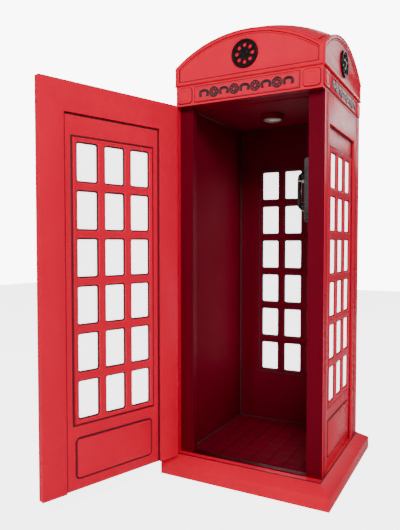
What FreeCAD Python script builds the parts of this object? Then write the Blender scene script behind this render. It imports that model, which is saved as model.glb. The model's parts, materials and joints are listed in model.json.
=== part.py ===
import FreeCAD, Part
import math
import os
import Sketcher

# Public telephone kiosk of painted cast iron, with an outward-opening door.
# Millimetres, +Z up.  The origin is the centre of the plinth on the ground;
# the doorway faces -Y.  Walls are drawn as the front wall and then turned.

doc = FreeCAD.newDocument("telephone_kiosk")
sizes = doc.addObject("Spreadsheet::Sheet", "sizes")

DRIVING_SIZES = {
    # plinth and floor
    "plinth_half": 537, "plinth_edge": 75, "plinth_top": 118, "plinth_shoulder": 470,
    "floor_top": 126, "sill_top": 123, "anchor_place": 350, "anchor_radius": 9, "anchor_access": 14,
    "cable_place": 300, "cable_radius": 25, "cable_access": 30,
    # walls: distances out from the kiosk's centre
    "body_half": 463, "recess_face": 446, "field_face": 452, "wall_inner": 418,
    "wall_half": 370, "band_inner": 317, "sash_half": 265, "field_half": 250,
    # heights
    "sash_low": 483, "sash_high": 2017, "recess_high": 2139, "wall_high": 2303,
    "field_low": 190, "field_high": 400,
    # glazing
    "pane_wide": 135, "pane_tall": 215, "glazing_bar": 40, "sash_inner": 424, "sash_thick": 30,
    "glass_inner": 436, "glass_thick": 6,
    # head of the kiosk
    "fascia_high": 2428, "shoulder_high": 2541, "pediment_high": 2700, "dome_high": 2820,
    "sunk_half": 441, "sunk_low": 2450, "sunk_shoulder": 2530, "sunk_crown": 2678,
    "rim_proud": 8, "dome_thick": 12,
    "sign_half": 330, "sign_low": 2320, "sign_tall": 92, "sign_proud": 4, "sign_set": 4,
    "block_inner": 352, "block_wide": 96, "block_proud": 8,
    "rosette_high": 2560, "rosette_radius": 82, "rosette_thick": 8,
    "petal_ring": 47.56, "petal_radius": 13.94,
    # door, drawn closed
    "door_half": 457, "door_low": 124, "door_top": 2300, "door_web_inner": 432,
    "door_open": 108.4, "front_post_face": 416, "rebate_thick": 4, "rebate_back": 3,
    # hinges: the axis stands off the corner
    "hinge_place": 475, "barrel_radius": 12, "pin_radius": 4, "pin_play": 0.05,
    "leaf_near": 8, "leaf_thick": 4, "leaf_long": 95, "hinge_half": 55, "knuckle_half": 17.5,
    "knuckle_gap": 0.5, "leaf_notch": 20, "hinge_low": 330, "hinge_pitch": 870,
    # pull handle on the latch stile
    "pull_across": 390, "pull_low": 1040, "pull_tall": 190, "pull_reach": 40, "pull_radius": 8,
    "pull_foot": 12,
    # ceiling and lamp
    "ceiling_thick": 10, "lamp_radius": 75, "lamp_drop": 34, "lamp_back": 6,
    "lens_radius": 62, "lens_drop": 22, "lens_set": 8, "lens_play": 0.5,
    # lining and wall telephone on the right-hand wall
    "lining_thick": 6, "board_thick": 12, "board_half": 210, "board_low": 1180, "board_high": 2090,
    "phone_near": -130, "phone_wide": 210, "phone_low": 1590, "phone_tall": 400,
    "phone_deep": 150, "phone_skin": 5, "phone_round": 22, "face_thick": 4, "face_margin": 14,
    "dial_across": 15, "dial_high": 1820, "dial_radius": 40, "dial_ring": 47, "dial_ring_thick": 5,
    "dial_wheel_thick": 3, "dial_air": 0.5, "spindle_radius": 5,
    "finger_ring": 28, "finger_radius": 6, "finger_first": -75, "finger_pitch": 30,
    "button_across": 15, "button_high": 1925, "button_radius": 9, "button_out": 9,
    "button_play": 0.5, "coin_across": 45, "coin_low": 1912, "coin_wide": 3, "coin_tall": 26,
    "cup_across": 15, "cup_half": 32, "cup_low": 1640, "cup_tall": 60,
    "cup_deep": 55, "flap_thick": 3, "flap_gap": 1,
    "handset_across": -92, "handset_low": 1660, "handset_long": 245, "handset_grip": 15,
    "handset_cap": 27, "handset_cap_thick": 30, "hook_gap": 1, "hook_radius": 5,
    "hook_spread": 22, "hook_reach": 46,
    "gland_radius": 10, "gland_long": 14, "gland_hole": 4, "gland_back": 60,
}
for row, (alias, value) in enumerate(DRIVING_SIZES.items(), start=1):
    sizes.set(f"A{row}", alias)
    sizes.set(f"B{row}", str(value))
    sizes.setAlias(f"B{row}", alias)
doc.recompute()

ORIGIN = FreeCAD.Vector(0, 0, 0)
UP = FreeCAD.Vector(0, 0, 1)
SIDE_TURNS = {"front": 0, "right": 90, "back": 180, "left": 270}
WALLS = ("right", "back", "left")
COLUMNS = 3
ROWS = 6
subparts = []


def size(alias):
    """A driving size, read from the sheet."""
    return float(sizes.get(alias))


def cells(text):
    """An expression in which every sheet alias is written with its sheet's name."""
    words = text.replace("(", " ( ").replace(")", " ) ").split()
    return " ".join(f"sizes.{word}" if word in DRIVING_SIZES else word for word in words)


def keep(feature, label, placement=None):
    """Give a finished sub-part its name and its place."""
    feature.Label = label
    if placement is not None:
        feature.Placement = placement
    subparts.append(feature)
    return feature


def turned(side):
    """Placement that takes the front wall round to another side."""
    return FreeCAD.Placement(ORIGIN, FreeCAD.Rotation(UP, SIDE_TURNS[side]))


def door_swing():
    """Placement that takes the closed door about its hinge axis to where it stands open."""
    axis = FreeCAD.Vector(-size("hinge_place"), -size("hinge_place"), 0)
    return FreeCAD.Placement(ORIGIN, FreeCAD.Rotation(UP, -size("door_open")), axis)


# ---------------------------------------------------------------- sketch and pad helpers

def sketch_on(body, role, offset):
    """A sketch on one of the body's own origin planes, moved along the plane's normal."""
    sketch = body.newObject("Sketcher::SketchObject", "outline")
    plane = next(item for item in body.Origin.OriginFeatures if item.Role == role)
    sketch.AttachmentSupport = (plane, [""])
    sketch.MapMode = "FlatFace"
    sketch.setExpression("AttachmentOffset.Base.z", cells(offset))
    return sketch


def outline(sketch, points):
    """A closed outline of straight edges, each corner held by two bound distances."""
    first = sketch.GeometryCount
    places = [[float(sketch.evalExpression(cells(text))) for text in point] for point in points]
    corners = [FreeCAD.Vector(place[0], place[1], 0) for place in places]
    count = len(corners)
    for index in range(count):
        sketch.addGeometry(Part.LineSegment(corners[index], corners[(index + 1) % count]))
    for index in range(count):
        after = first + (index + 1) % count
        sketch.addConstraint(Sketcher.Constraint("Coincident", first + index, 2, after, 1))
    for index, point in enumerate(points):
        for kind, text, value in zip(("DistanceX", "DistanceY"), point, places[index]):
            held = sketch.addConstraint(
                Sketcher.Constraint(kind, -1, 1, first + index, 1, value))
            sketch.setExpression(f"Constraints[{held}]", cells(text))


def rectangle(left, low, right, high):
    """The four corners of an upright rectangle, as expressions."""
    return [(left, low), (right, low), (right, high), (left, high)]


def pair(inner, outer, low, high):
    """Two upright strips, mirrored about the wall's middle."""
    return [rectangle(f"-1 * {outer}", low, f"-1 * {inner}", high),
            rectangle(inner, low, outer, high)]


def centred(half, low, high):
    """One upright rectangle about the wall's middle."""
    return [rectangle(f"-1 * {half}", low, half, high)]


def slab_body(name, layers, role="XZ_Plane"):
    """A body of plates laid one on another: each layer is start, finish and outlines."""
    body = doc.addObject("PartDesign::Body", name)
    body.AllowCompound = True
    for start, finish, outlines in layers:
        sketch = sketch_on(body, role, start)
        for points in outlines:
            outline(sketch, points)
        pad = body.newObject("PartDesign::Pad", "layer")
        pad.Profile = sketch
        pad.setExpression("Length", cells(f"( {finish} ) - ( {start} )"))
        body.Tip = pad
    return body


def pocket_through(body, sketch):
    """Cut a sketch right through the body."""
    pocket = body.newObject("PartDesign::Pocket", "opening")
    pocket.Profile = sketch
    pocket.Type = "ThroughAll"
    body.Tip = pocket
    return pocket


def circle(sketch, across, along, radius):
    """A circle whose middle and radius are bound to the sheet."""
    middle = [float(sketch.evalExpression(cells(text))) for text in (across, along)]
    shape = Part.Circle(FreeCAD.Vector(middle[0], middle[1], 0), UP, size(radius))
    index = sketch.addGeometry(shape)
    for kind, text, value in zip(("DistanceX", "DistanceY"), (across, along), middle):
        held = sketch.addConstraint(Sketcher.Constraint(kind, -1, 1, index, 3, value))
        sketch.setExpression(f"Constraints[{held}]", cells(text))
    held = sketch.addConstraint(Sketcher.Constraint("Radius", index, size(radius)))
    sketch.setExpression(f"Constraints[{held}]", cells(radius))


# ---------------------------------------------------------------- primitive helpers

def place_at(feature, across, along, high):
    """Bind a primitive's base point to the sheet."""
    for letter, text in zip("xyz", (across, along, high)):
        feature.setExpression(f"Placement.Base.{letter}", cells(text))


def block(across, along, high, wide, deep, tall):
    """A box between bound corners."""
    feature = doc.addObject("Part::Box", "block")
    place_at(feature, across, along, high)
    for name, text in zip(("Length", "Width", "Height"), (wide, deep, tall)):
        feature.setExpression(name, cells(text))
    return feature


def rod(across, along, high, radius, length, direction=UP):
    """A round bar from a bound point along a direction."""
    feature = doc.addObject("Part::Cylinder", "rod")
    feature.Placement.Rotation = FreeCAD.Rotation(UP, direction)
    place_at(feature, across, along, high)
    feature.setExpression("Radius", cells(radius))
    feature.setExpression("Height", cells(length))
    return feature


def ball(across, along, high, radius):
    """A sphere about a bound point."""
    feature = doc.addObject("Part::Sphere", "ball")
    place_at(feature, across, along, high)
    feature.setExpression("Radius", cells(radius))
    return feature


def cut(base, *tools):
    """Take tools away from a base, one after another."""
    for tool in tools:
        feature = doc.addObject("Part::Cut", "cut")
        feature.Base = base
        feature.Tool = tool
        base = feature
    return base


def joined(*pieces):
    """Fuse pieces that touch."""
    feature = doc.addObject("Part::MultiFuse", "joined")
    feature.Shapes = list(pieces)
    feature.Refine = True
    return feature


def together(*pieces):
    """Keep pieces that are fastened to one another as separate solids of one sub-part."""
    feature = doc.addObject("Part::Compound", "together")
    feature.Links = list(pieces)
    return feature


def own_shape(shape, label, placement=None):
    """A sub-part whose shape is worked out in code from the sheet."""
    feature = doc.addObject("Part::Feature", label)
    feature.Shape = shape
    return keep(feature, label, placement)


def fillet_along(base, direction, alias):
    """Round every straight edge of a feature that runs along one direction."""
    doc.recompute()
    feature = doc.addObject("Part::Fillet", "rounded")
    feature.Base = base
    radius = size(alias)
    edges = []
    for index, edge in enumerate(base.Shape.Edges, start=1):
        if isinstance(edge.Curve, Part.Line) and abs(edge.Curve.Direction.dot(direction)) > 0.99:
            edges.append((index, radius, radius))
    feature.Edges = edges
    return feature


# ---------------------------------------------------------------- plinth, floor, sill

def square(half):
    """A square about the kiosk's middle."""
    return rectangle(f"-1 * {half}", f"-1 * {half}", half, half)


def anchor_circles(sketch, radius):
    """Four circles on the anchor bolt square."""
    for across in ("-1 * anchor_place", "anchor_place"):
        for along in ("-1 * anchor_place", "anchor_place"):
            circle(sketch, across, along, radius)


def make_plinth():
    """Plinth: an upright edge and a weathered top, with anchor holes and a cable hole."""
    body = slab_body("plinth_base", [("0", "plinth_edge", [square("plinth_half")])], "XY_Plane")
    low = sketch_on(body, "XY_Plane", "plinth_edge")
    outline(low, square("plinth_half"))
    high = sketch_on(body, "XY_Plane", "plinth_top")
    outline(high, square("plinth_shoulder"))
    slope = body.newObject("PartDesign::AdditiveLoft", "weathering")
    slope.Profile = low
    slope.Sections = [high]
    slope.Ruled = True
    body.Tip = slope
    holes = sketch_on(body, "XY_Plane", "plinth_top + 10")
    anchor_circles(holes, "anchor_radius")
    circle(holes, "cable_place", "cable_place", "cable_radius")
    pocket_through(body, holes)
    keep(body, "plinth_base")


def make_floor():
    """Floor slab inside the walls, pierced over the anchors and the cable entry."""
    body = slab_body("floor_slab", [("plinth_top", "floor_top", [rectangle(
        "-1 * wall_inner", "-1 * wall_half", "wall_inner", "wall_inner")])], "XY_Plane")
    holes = sketch_on(body, "XY_Plane", "floor_top + 10")
    anchor_circles(holes, "anchor_access")
    circle(holes, "cable_place", "cable_place", "cable_access")
    pocket_through(body, holes)
    keep(body, "floor_slab")
    keep(block("-1 * wall_half", "-1 * front_post_face", "plinth_top",
               "2 * wall_half", "front_post_face - wall_half", "sill_top - plinth_top"),
         "threshold_sill")


# ---------------------------------------------------------------- walls

def make_posts():
    """Corner posts: jambs at the doorway, a stop lip on the hinge one, and angle sections behind."""
    keep(slab_body("post_front_right", [("plinth_top", "wall_high", [rectangle(
        "wall_half", "-1 * front_post_face", "body_half", "-1 * wall_half")])], "XY_Plane"),
        "post_front_right")
    tall = "wall_high - plinth_top"
    jamb = block("-1 * body_half", "-1 * front_post_face", "plinth_top",
                 "body_half - wall_half", "front_post_face - wall_half", tall)
    lip = block("-1 * body_half", "-1 * body_half + rebate_back", "plinth_top",
                "rebate_thick", "body_half - rebate_back - front_post_face", tall)
    keep(together(jamb, lip), "post_front_left")
    angle = [("wall_half", "wall_inner"), ("wall_inner", "wall_inner"),
             ("wall_inner", "wall_half"), ("body_half", "wall_half"),
             ("body_half", "body_half"), ("wall_half", "body_half")]
    for label, side in (("post_back_right", "front"), ("post_back_left", "right")):
        keep(slab_body(label, [("plinth_top", "wall_high", [angle])], "XY_Plane"),
             label, turned(side))


def make_wall(side):
    """Lower panel, stiles and upper panel round a window, with a recessed outer face."""
    keep(slab_body(f"lower_panel_{side}", [
        ("wall_inner", "recess_face", centred("wall_half", "plinth_top", "sash_low")),
        ("recess_face", "body_half", pair("band_inner", "wall_half", "plinth_top", "sash_low")),
        ("recess_face", "field_face", centred("field_half", "field_low", "field_high")),
    ]), f"lower_panel_{side}", turned(side))
    keep(slab_body(f"stiles_{side}", [
        ("wall_inner", "recess_face", pair("sash_half", "wall_half", "sash_low", "sash_high")),
        ("recess_face", "body_half", pair("band_inner", "wall_half", "sash_low", "sash_high")),
    ]), f"stiles_{side}", turned(side))
    keep(slab_body(f"upper_panel_{side}", [
        ("wall_inner", "recess_face", centred("wall_half", "sash_high", "wall_high")),
        ("recess_face", "body_half", centred("wall_half", "recess_high", "wall_high")),
        ("recess_face", "body_half", pair("band_inner", "wall_half", "sash_high", "recess_high")),
    ]), f"upper_panel_{side}", turned(side))


def make_sash(label, placement):
    """A glazing frame of eighteen lights: each column is one light repeated upwards."""
    body = slab_body(label, [
        ("sash_inner", "sash_inner + sash_thick", centred("sash_half", "sash_low", "sash_high"))])
    for column in range(COLUMNS):
        sketch = sketch_on(body, "XZ_Plane", "sash_inner + sash_thick + 5")
        left = f"( {column} - 1 ) * ( pane_wide + glazing_bar ) - pane_wide / 2"
        low = "( sash_low + sash_high ) / 2 - 3 * pane_tall - 2.5 * glazing_bar"
        outline(sketch, rectangle(left, low, f"{left} + pane_wide", f"{low} + pane_tall"))
        light = pocket_through(body, sketch)
        doc.recompute()
        lights = body.newObject("PartDesign::LinearPattern", "lights")
        lights.Originals = [light]
        lights.Direction = (sketch, ["V_Axis"])
        lights.setExpression("Length", cells(f"{ROWS - 1} * ( pane_tall + glazing_bar )"))
        lights.Occurrences = ROWS
        body.Tip = lights
    keep(body, label, placement)


def make_panes(label, placement):
    """Eighteen sheets of glass, each filling one light of the sash."""
    wide, tall, bar = size("pane_wide"), size("pane_tall"), size("glazing_bar")
    low = (size("sash_low") + size("sash_high") - ROWS * tall - (ROWS - 1) * bar) / 2
    glass = []
    for column in range(COLUMNS):
        for row in range(ROWS):
            corner = FreeCAD.Vector((column - 1) * (wide + bar) - wide / 2,
                                    -size("glass_inner") - size("glass_thick"),
                                    low + row * (tall + bar))
            glass.append(Part.makeBox(wide, size("glass_thick"), tall, corner))
    own_shape(Part.makeCompound(glass), label, placement)


# ---------------------------------------------------------------- fascia, signs, pediments

def make_fascia(side):
    """One mitred length of the fascia, with a sinking for its sign."""
    mitred = [("-1 * body_half", "-1 * body_half"), ("body_half", "-1 * body_half"),
              ("wall_inner", "-1 * wall_inner"), ("-1 * wall_inner", "-1 * wall_inner")]
    body = slab_body(f"fascia_{side}", [("wall_high", "fascia_high", [mitred])], "XY_Plane")
    sinking = sketch_on(body, "XZ_Plane", "body_half")
    outline(sinking, rectangle("-1 * sign_half", "sign_low", "sign_half", "sign_low + sign_tall"))
    pocket = body.newObject("PartDesign::Pocket", "sinking")
    pocket.Profile = sinking
    pocket.setExpression("Length", cells("sign_set"))
    body.Tip = pocket
    keep(body, f"fascia_{side}", turned(side))
    keep(slab_body(f"sign_{side}", [
        ("body_half - sign_set", "body_half + sign_proud",
         centred("sign_half", "sign_low", "sign_low + sign_tall"))]),
        f"sign_{side}", turned(side))


def make_fascia_blocks():
    """Raised blocks at both ends of every fascia, over the corner posts."""
    wide, proud, tall = size("block_wide"), size("block_proud"), size("sign_tall")
    blocks = []
    for side in SIDE_TURNS:
        for across in (size("block_inner"), -size("block_inner") - wide):
            corner = FreeCAD.Vector(across, -size("body_half") - proud, size("sign_low"))
            piece = Part.makeBox(wide, proud, tall, corner)
            piece.Placement = turned(side).multiply(piece.Placement)
            blocks.append(piece)
    own_shape(Part.makeCompound(blocks), "fascia_blocks")


def arch_outline(sketch, half, low, shoulder, crown):
    """An upright-ended plate with a segmental top, bound to the sheet."""
    value = {name: size(name) for name in (half, low, shoulder, crown)}
    points = [FreeCAD.Vector(-value[half], value[shoulder], 0),
              FreeCAD.Vector(-value[half], value[low], 0),
              FreeCAD.Vector(value[half], value[low], 0),
              FreeCAD.Vector(value[half], value[shoulder], 0)]
    first = sketch.GeometryCount
    for start, finish in zip(points, points[1:]):
        sketch.addGeometry(Part.LineSegment(start, finish))
    top = FreeCAD.Vector(0, value[crown], 0)
    arch = sketch.addGeometry(Part.Arc(points[3], top, points[0]))
    for index in range(2):
        sketch.addConstraint(
            Sketcher.Constraint("Coincident", first + index, 2, first + index + 1, 1))
    sketch.addConstraint(Sketcher.Constraint("Coincident", arch, 1, first + 2, 2))
    sketch.addConstraint(Sketcher.Constraint("Coincident", arch, 2, first, 1))
    sag = f"( {crown} - {shoulder} )"
    radius = f"( {half} * {half} + {sag} * {sag} ) / ( 2 * {sag} )"
    holds = [("DistanceX", first, 1, f"-1 * {half}"), ("DistanceY", first, 1, shoulder),
             ("DistanceX", first, 2, f"-1 * {half}"), ("DistanceY", first, 2, low),
             ("DistanceX", first + 2, 1, half), ("DistanceY", first + 2, 1, low),
             ("DistanceX", first + 2, 2, half), ("DistanceY", first + 2, 2, shoulder)]
    for kind, geometry, point, text in holds:
        amount = float(sketch.evalExpression(cells(text)))
        held = sketch.addConstraint(Sketcher.Constraint(kind, -1, 1, geometry, point, amount))
        sketch.setExpression(f"Constraints[{held}]", cells(text))
    amount = float(sketch.evalExpression(cells(radius)))
    held = sketch.addConstraint(Sketcher.Constraint("Radius", arch, amount))
    sketch.setExpression(f"Constraints[{held}]", cells(radius))


def make_pediment(side):
    """Segmental pediment plate, mitred at both ends, with a raised rim under its arch."""
    body = doc.addObject("PartDesign::Body", f"pediment_{side}")
    plate = sketch_on(body, "XZ_Plane", "wall_inner")
    arch_outline(plate, "body_half", "fascia_high", "shoulder_high", "pediment_high")
    pad = body.newObject("PartDesign::Pad", "plate")
    pad.Profile = plate
    pad.setExpression("Length", cells("body_half + rim_proud - wall_inner"))
    body.Tip = pad
    mitre = sketch_on(body, "XY_Plane", "pediment_high + 10")
    for sign in ("1", "-1"):
        outline(mitre, [(f"{sign} * wall_inner", "-1 * wall_inner + 1"),
                        (f"{sign} * wall_inner", "-1 * wall_inner"),
                        (f"{sign} * ( body_half + 1 )", "-1 * body_half - 1"),
                        (f"{sign} * ( body_half + 1 )", "-1 * wall_inner + 1")])
    pocket_through(body, mitre)
    sinking = sketch_on(body, "XZ_Plane", "body_half + rim_proud")
    arch_outline(sinking, "sunk_half", "sunk_low", "sunk_shoulder", "sunk_crown")
    pocket = body.newObject("PartDesign::Pocket", "sinking")
    pocket.Profile = sinking
    pocket.setExpression("Length", cells("rim_proud"))
    body.Tip = pocket
    keep(body, f"pediment_{side}", turned(side))


def make_dome():
    """Sail dome: a spherical cap over the square inside the pediments, hollow beneath."""
    half, shoulder = size("body_half"), size("shoulder_high")
    sag = size("pediment_high") - shoulder
    centre = size("pediment_high") - (half * half + sag * sag) / (2 * sag)
    radius = size("dome_high") - centre
    middle = FreeCAD.Vector(0, 0, centre)
    outer = Part.makeSphere(radius, middle)
    inner = Part.makeSphere(radius - size("dome_thick"), middle)
    inside = size("wall_inner")
    plan = Part.makeBox(2 * inside, 2 * inside, radius,
                        FreeCAD.Vector(-inside, -inside, size("fascia_high")))
    own_shape(outer.cut(inner).common(plan), "roof_dome")


def make_rosettes():
    """Four round vent grilles, one on each pediment, each pierced by eight petals."""
    radius, thick = size("rosette_radius"), size("rosette_thick")
    petals = 8
    face = FreeCAD.Vector(0, -size("body_half"), size("rosette_high"))
    outward = FreeCAD.Vector(0, -1, 0)
    plate = Part.makeCylinder(radius, thick, face, outward)
    for index in range(petals):
        angle = 2 * math.pi * index / petals
        middle = face + FreeCAD.Vector(math.cos(angle), 0, math.sin(angle)) * size("petal_ring")
        plate = plate.cut(Part.makeCylinder(size("petal_radius"), thick, middle, outward))
    grilles = []
    for side in SIDE_TURNS:
        grille = plate.copy()
        grille.Placement = turned(side)
        grilles.append(grille)
    own_shape(Part.makeCompound(grilles), "vent_rosettes")


# ---------------------------------------------------------------- ceiling, lamp, lining

def make_ceiling():
    """Ceiling board under the dome, with a round lamp hung below its middle."""
    keep(block("-1 * wall_inner", "-1 * wall_inner", "wall_high",
               "2 * wall_inner", "2 * wall_inner", "ceiling_thick"), "ceiling_panel")
    under = "wall_high - lamp_drop"
    keep(cut(rod("0", "0", under, "lamp_radius", "lamp_drop"),
             rod("0", "0", under, "lens_radius", "lamp_drop - lamp_back")), "lamp_housing")
    keep(rod("0", "0", f"{under} - lens_drop + lens_set", "lens_radius - lens_play", "lens_drop"),
         "lamp_lens")


def make_linings():
    """Board over the left-hand wall's inner face, and the telephone's backboard opposite."""
    keep(block("-1 * wall_inner", "-1 * wall_half", "floor_top",
               "lining_thick", "wall_half + wall_inner", "wall_high - floor_top"), "lining_left")
    keep(block("wall_inner - board_thick", "-1 * board_half", "board_low",
               "board_thick", "2 * board_half", "board_high - board_low"), "phone_backboard")


# ---------------------------------------------------------------- wall telephone

INWARD = FreeCAD.Vector(1, 0, 0)
ALONG = FreeCAD.Vector(0, 1, 0)
CASE_BACK = "wall_inner - board_thick"
CASE_FRONT = f"( {CASE_BACK} - phone_deep )"
FACE_FRONT = f"( {CASE_FRONT} - face_thick )"
PHONE_HIGH = "( phone_low + phone_tall )"
HOOK_HIGH = ("( handset_low + handset_long - 2 * handset_cap - hook_gap"
             " - hook_radius )")
CUP_NEAR = "( cup_across - cup_half )"


def phone_openings():
    """Holes that go through the faceplate and the front of the case."""
    deep = "face_thick + phone_skin + 2"
    start = f"{FACE_FRONT} - 1"
    slots = []
    for sign in ("- 1", "+ 1"):
        across = f"handset_across {sign} * hook_spread"
        slots.append(block(start, f"{across} - hook_radius - 1", f"{HOOK_HIGH} - hook_radius - 7",
                           deep, "2 * hook_radius + 2", "2 * hook_radius + 8"))
    button = rod(start, "button_across", "button_high", "button_radius + button_play", deep, INWARD)
    cup = block(start, CUP_NEAR, "cup_low", "cup_deep + face_thick + 1", "2 * cup_half", "cup_tall")
    return slots + [button, cup]


def make_phone_case():
    """Case: a rounded shell open at the back, with the coin-return cup built in."""
    outer = fillet_along(block(CASE_FRONT, "phone_near", "phone_low",
                               "phone_deep", "phone_wide", "phone_tall"), ALONG, "phone_round")
    cavity = block(f"{CASE_FRONT} + phone_skin", "phone_near + phone_skin",
                   "phone_low + phone_round", "phone_deep",
                   "phone_wide - 2 * phone_skin", "phone_tall - 2 * phone_round")
    cup_wall = block(f"{CASE_FRONT} + 1", f"{CUP_NEAR} - 4", "cup_low - 4",
                     "cup_deep + 4", "2 * cup_half + 8", "cup_tall + 8")
    keep(cut(joined(cut(outer, cavity), cup_wall), *phone_openings()), "phone_case")


def make_faceplate():
    """Faceplate with the dial's bearing hole, button hole, hook slots, coin slot and cup mouth."""
    plate = block(FACE_FRONT, "phone_near + face_margin", "phone_low + phone_round",
                  "face_thick", "phone_wide - 2 * face_margin", "phone_tall - 2 * phone_round")
    spindle = rod(f"{FACE_FRONT} - 1", "dial_across", "dial_high",
                  "spindle_radius + pin_play", "face_thick + 2", INWARD)
    coin = block(f"{FACE_FRONT} - 1", "coin_across", "coin_low",
                 "face_thick + 2", "coin_wide", "coin_tall")
    keep(cut(plate, spindle, coin, *phone_openings()), "phone_faceplate")
    ring_start = f"{FACE_FRONT} - dial_ring_thick"
    keep(cut(rod(ring_start, "dial_across", "dial_high", "dial_ring", "dial_ring_thick", INWARD),
             rod(f"{ring_start} - 1", "dial_across", "dial_high",
                 "spindle_radius + pin_play", "dial_ring_thick + 2", INWARD)), "dial_ring")


def make_dial_wheel():
    """Finger wheel with ten holes, on a spindle that turns in the faceplate."""
    holes = 10
    start = f"{FACE_FRONT} - dial_ring_thick - dial_air - dial_wheel_thick"
    disc = rod(start, "dial_across", "dial_high", "dial_radius", "dial_wheel_thick", INWARD)
    fingers = []
    for index in range(holes):
        angle = math.radians(size("finger_first") + index * size("finger_pitch"))
        fingers.append(rod(f"{start} - 1", f"dial_across + finger_ring * {math.sin(angle):.5f}",
                           f"dial_high + finger_ring * {math.cos(angle):.5f}",
                           "finger_radius", "dial_wheel_thick + 2", INWARD))
    spindle = rod(start, "dial_across", "dial_high", "spindle_radius",
                  f"{FACE_FRONT} + face_thick - 0.5 - ( {start} )", INWARD)
    keep(joined(cut(disc, *fingers), spindle), "dial_wheel")


def make_phone_controls():
    """Return button, return-cup flap and the forked switch hook."""
    keep(rod(f"{FACE_FRONT} - button_out", "button_across", "button_high", "button_radius",
             "button_out + face_thick + phone_skin + 10", INWARD), "return_button")
    keep(block(f"{FACE_FRONT} + 0.5", f"{CUP_NEAR} + flap_gap", "cup_low + flap_gap",
               "flap_thick", "2 * cup_half - 2 * flap_gap", "cup_tall - 2 * flap_gap"),
         "return_flap")
    inner = f"{CASE_FRONT} + phone_skin + 5"
    prongs = [rod(f"{FACE_FRONT} - hook_reach", f"handset_across {sign} * hook_spread", HOOK_HIGH,
                  "hook_radius", f"{inner} - ( {FACE_FRONT} - hook_reach ) + 8", INWARD)
              for sign in ("- 1", "+ 1")]
    bridge = block(inner, "handset_across - hook_spread - hook_radius",
                   f"{HOOK_HIGH} - hook_radius", "8",
                   "2 * hook_spread + 2 * hook_radius", "2 * hook_radius")
    keep(joined(*prongs, bridge), "switch_hook")


def make_cord_gland():
    """Gland under the case for the handset's cord, with the cord's hole through it."""
    across, start = f"{CASE_BACK} - gland_back", "phone_low - gland_long"
    keep(cut(rod(across, "handset_across", start, "gland_radius", "gland_long"),
             rod(across, "handset_across", f"{start} - 1", "gland_hole", "gland_long + 1")),
         "cord_gland")


def make_handset():
    """Handset hanging upright on the hook: a grip bar between two round caps."""
    cap_start = f"{FACE_FRONT} - 2 - handset_cap_thick"
    caps = [rod(cap_start, "handset_across", high, "handset_cap", "handset_cap_thick", INWARD)
            for high in ("handset_low + handset_cap", "handset_low + handset_long - handset_cap")]
    grip = rod(f"{cap_start} - 5", "handset_across", "handset_low + handset_cap",
               "handset_grip", "handset_long - 2 * handset_cap")
    shoulders = [ball(f"{cap_start} - 5", "handset_across", high, "handset_grip")
                 for high in ("handset_low + handset_cap",
                              "handset_low + handset_long - handset_cap")]
    keep(joined(grip, *shoulders, *caps), "handset")


# ---------------------------------------------------------------- door

def make_door():
    """Door leaf, drawn closed: a web with a raised border on both faces, then swung open."""
    faces = (("recess_face", "body_half"), ("wall_inner", "door_web_inner"))
    web = ("door_web_inner", "recess_face")
    for label, sign in (("door_stile_hinge", "-1 * "), ("door_stile_latch", "")):
        web_strip = rectangle(f"{sign}sash_half", "sash_low", f"{sign}door_half", "sash_high")
        border = rectangle(f"{sign}band_inner", "sash_low", f"{sign}door_half", "sash_high")
        layers = [(*web, [web_strip])] + [(*face, [border]) for face in faces]
        keep(slab_body(label, layers), label, door_swing())
    rail = [(*web, centred("door_half", "sash_high", "door_top"))]
    panel = [(*web, centred("door_half", "door_low", "sash_low"))]
    for face in faces:
        rail.append((*face, centred("door_half", "recess_high", "door_top")))
        rail.append((*face, pair("band_inner", "door_half", "sash_high", "recess_high")))
        panel.append((*face, pair("band_inner", "door_half", "door_low", "sash_low")))
    panel.append(("recess_face", "field_face", centred("field_half", "field_low", "field_high")))
    panel.append(("door_web_inner - 6", "door_web_inner",
                  centred("field_half", "field_low", "field_high")))
    keep(slab_body("door_top_rail", rail), "door_top_rail", door_swing())
    keep(slab_body("door_bottom_panel", panel), "door_bottom_panel", door_swing())
    make_sash("door_sash", door_swing())
    make_panes("door_panes", door_swing())


def make_door_pull():
    """Pull handle on the latch stile: an upright bar on two feet."""
    stand = "-1 * body_half - pull_reach"
    bar = rod("pull_across", stand, "pull_low", "pull_radius", "pull_tall")
    feet = [rod("pull_across", stand, f"pull_low + {place}", "pull_radius", "pull_reach", ALONG)
            for place in ("pull_foot", "pull_tall - pull_foot")]
    keep(joined(bar, *feet), "door_pull", door_swing())


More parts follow.
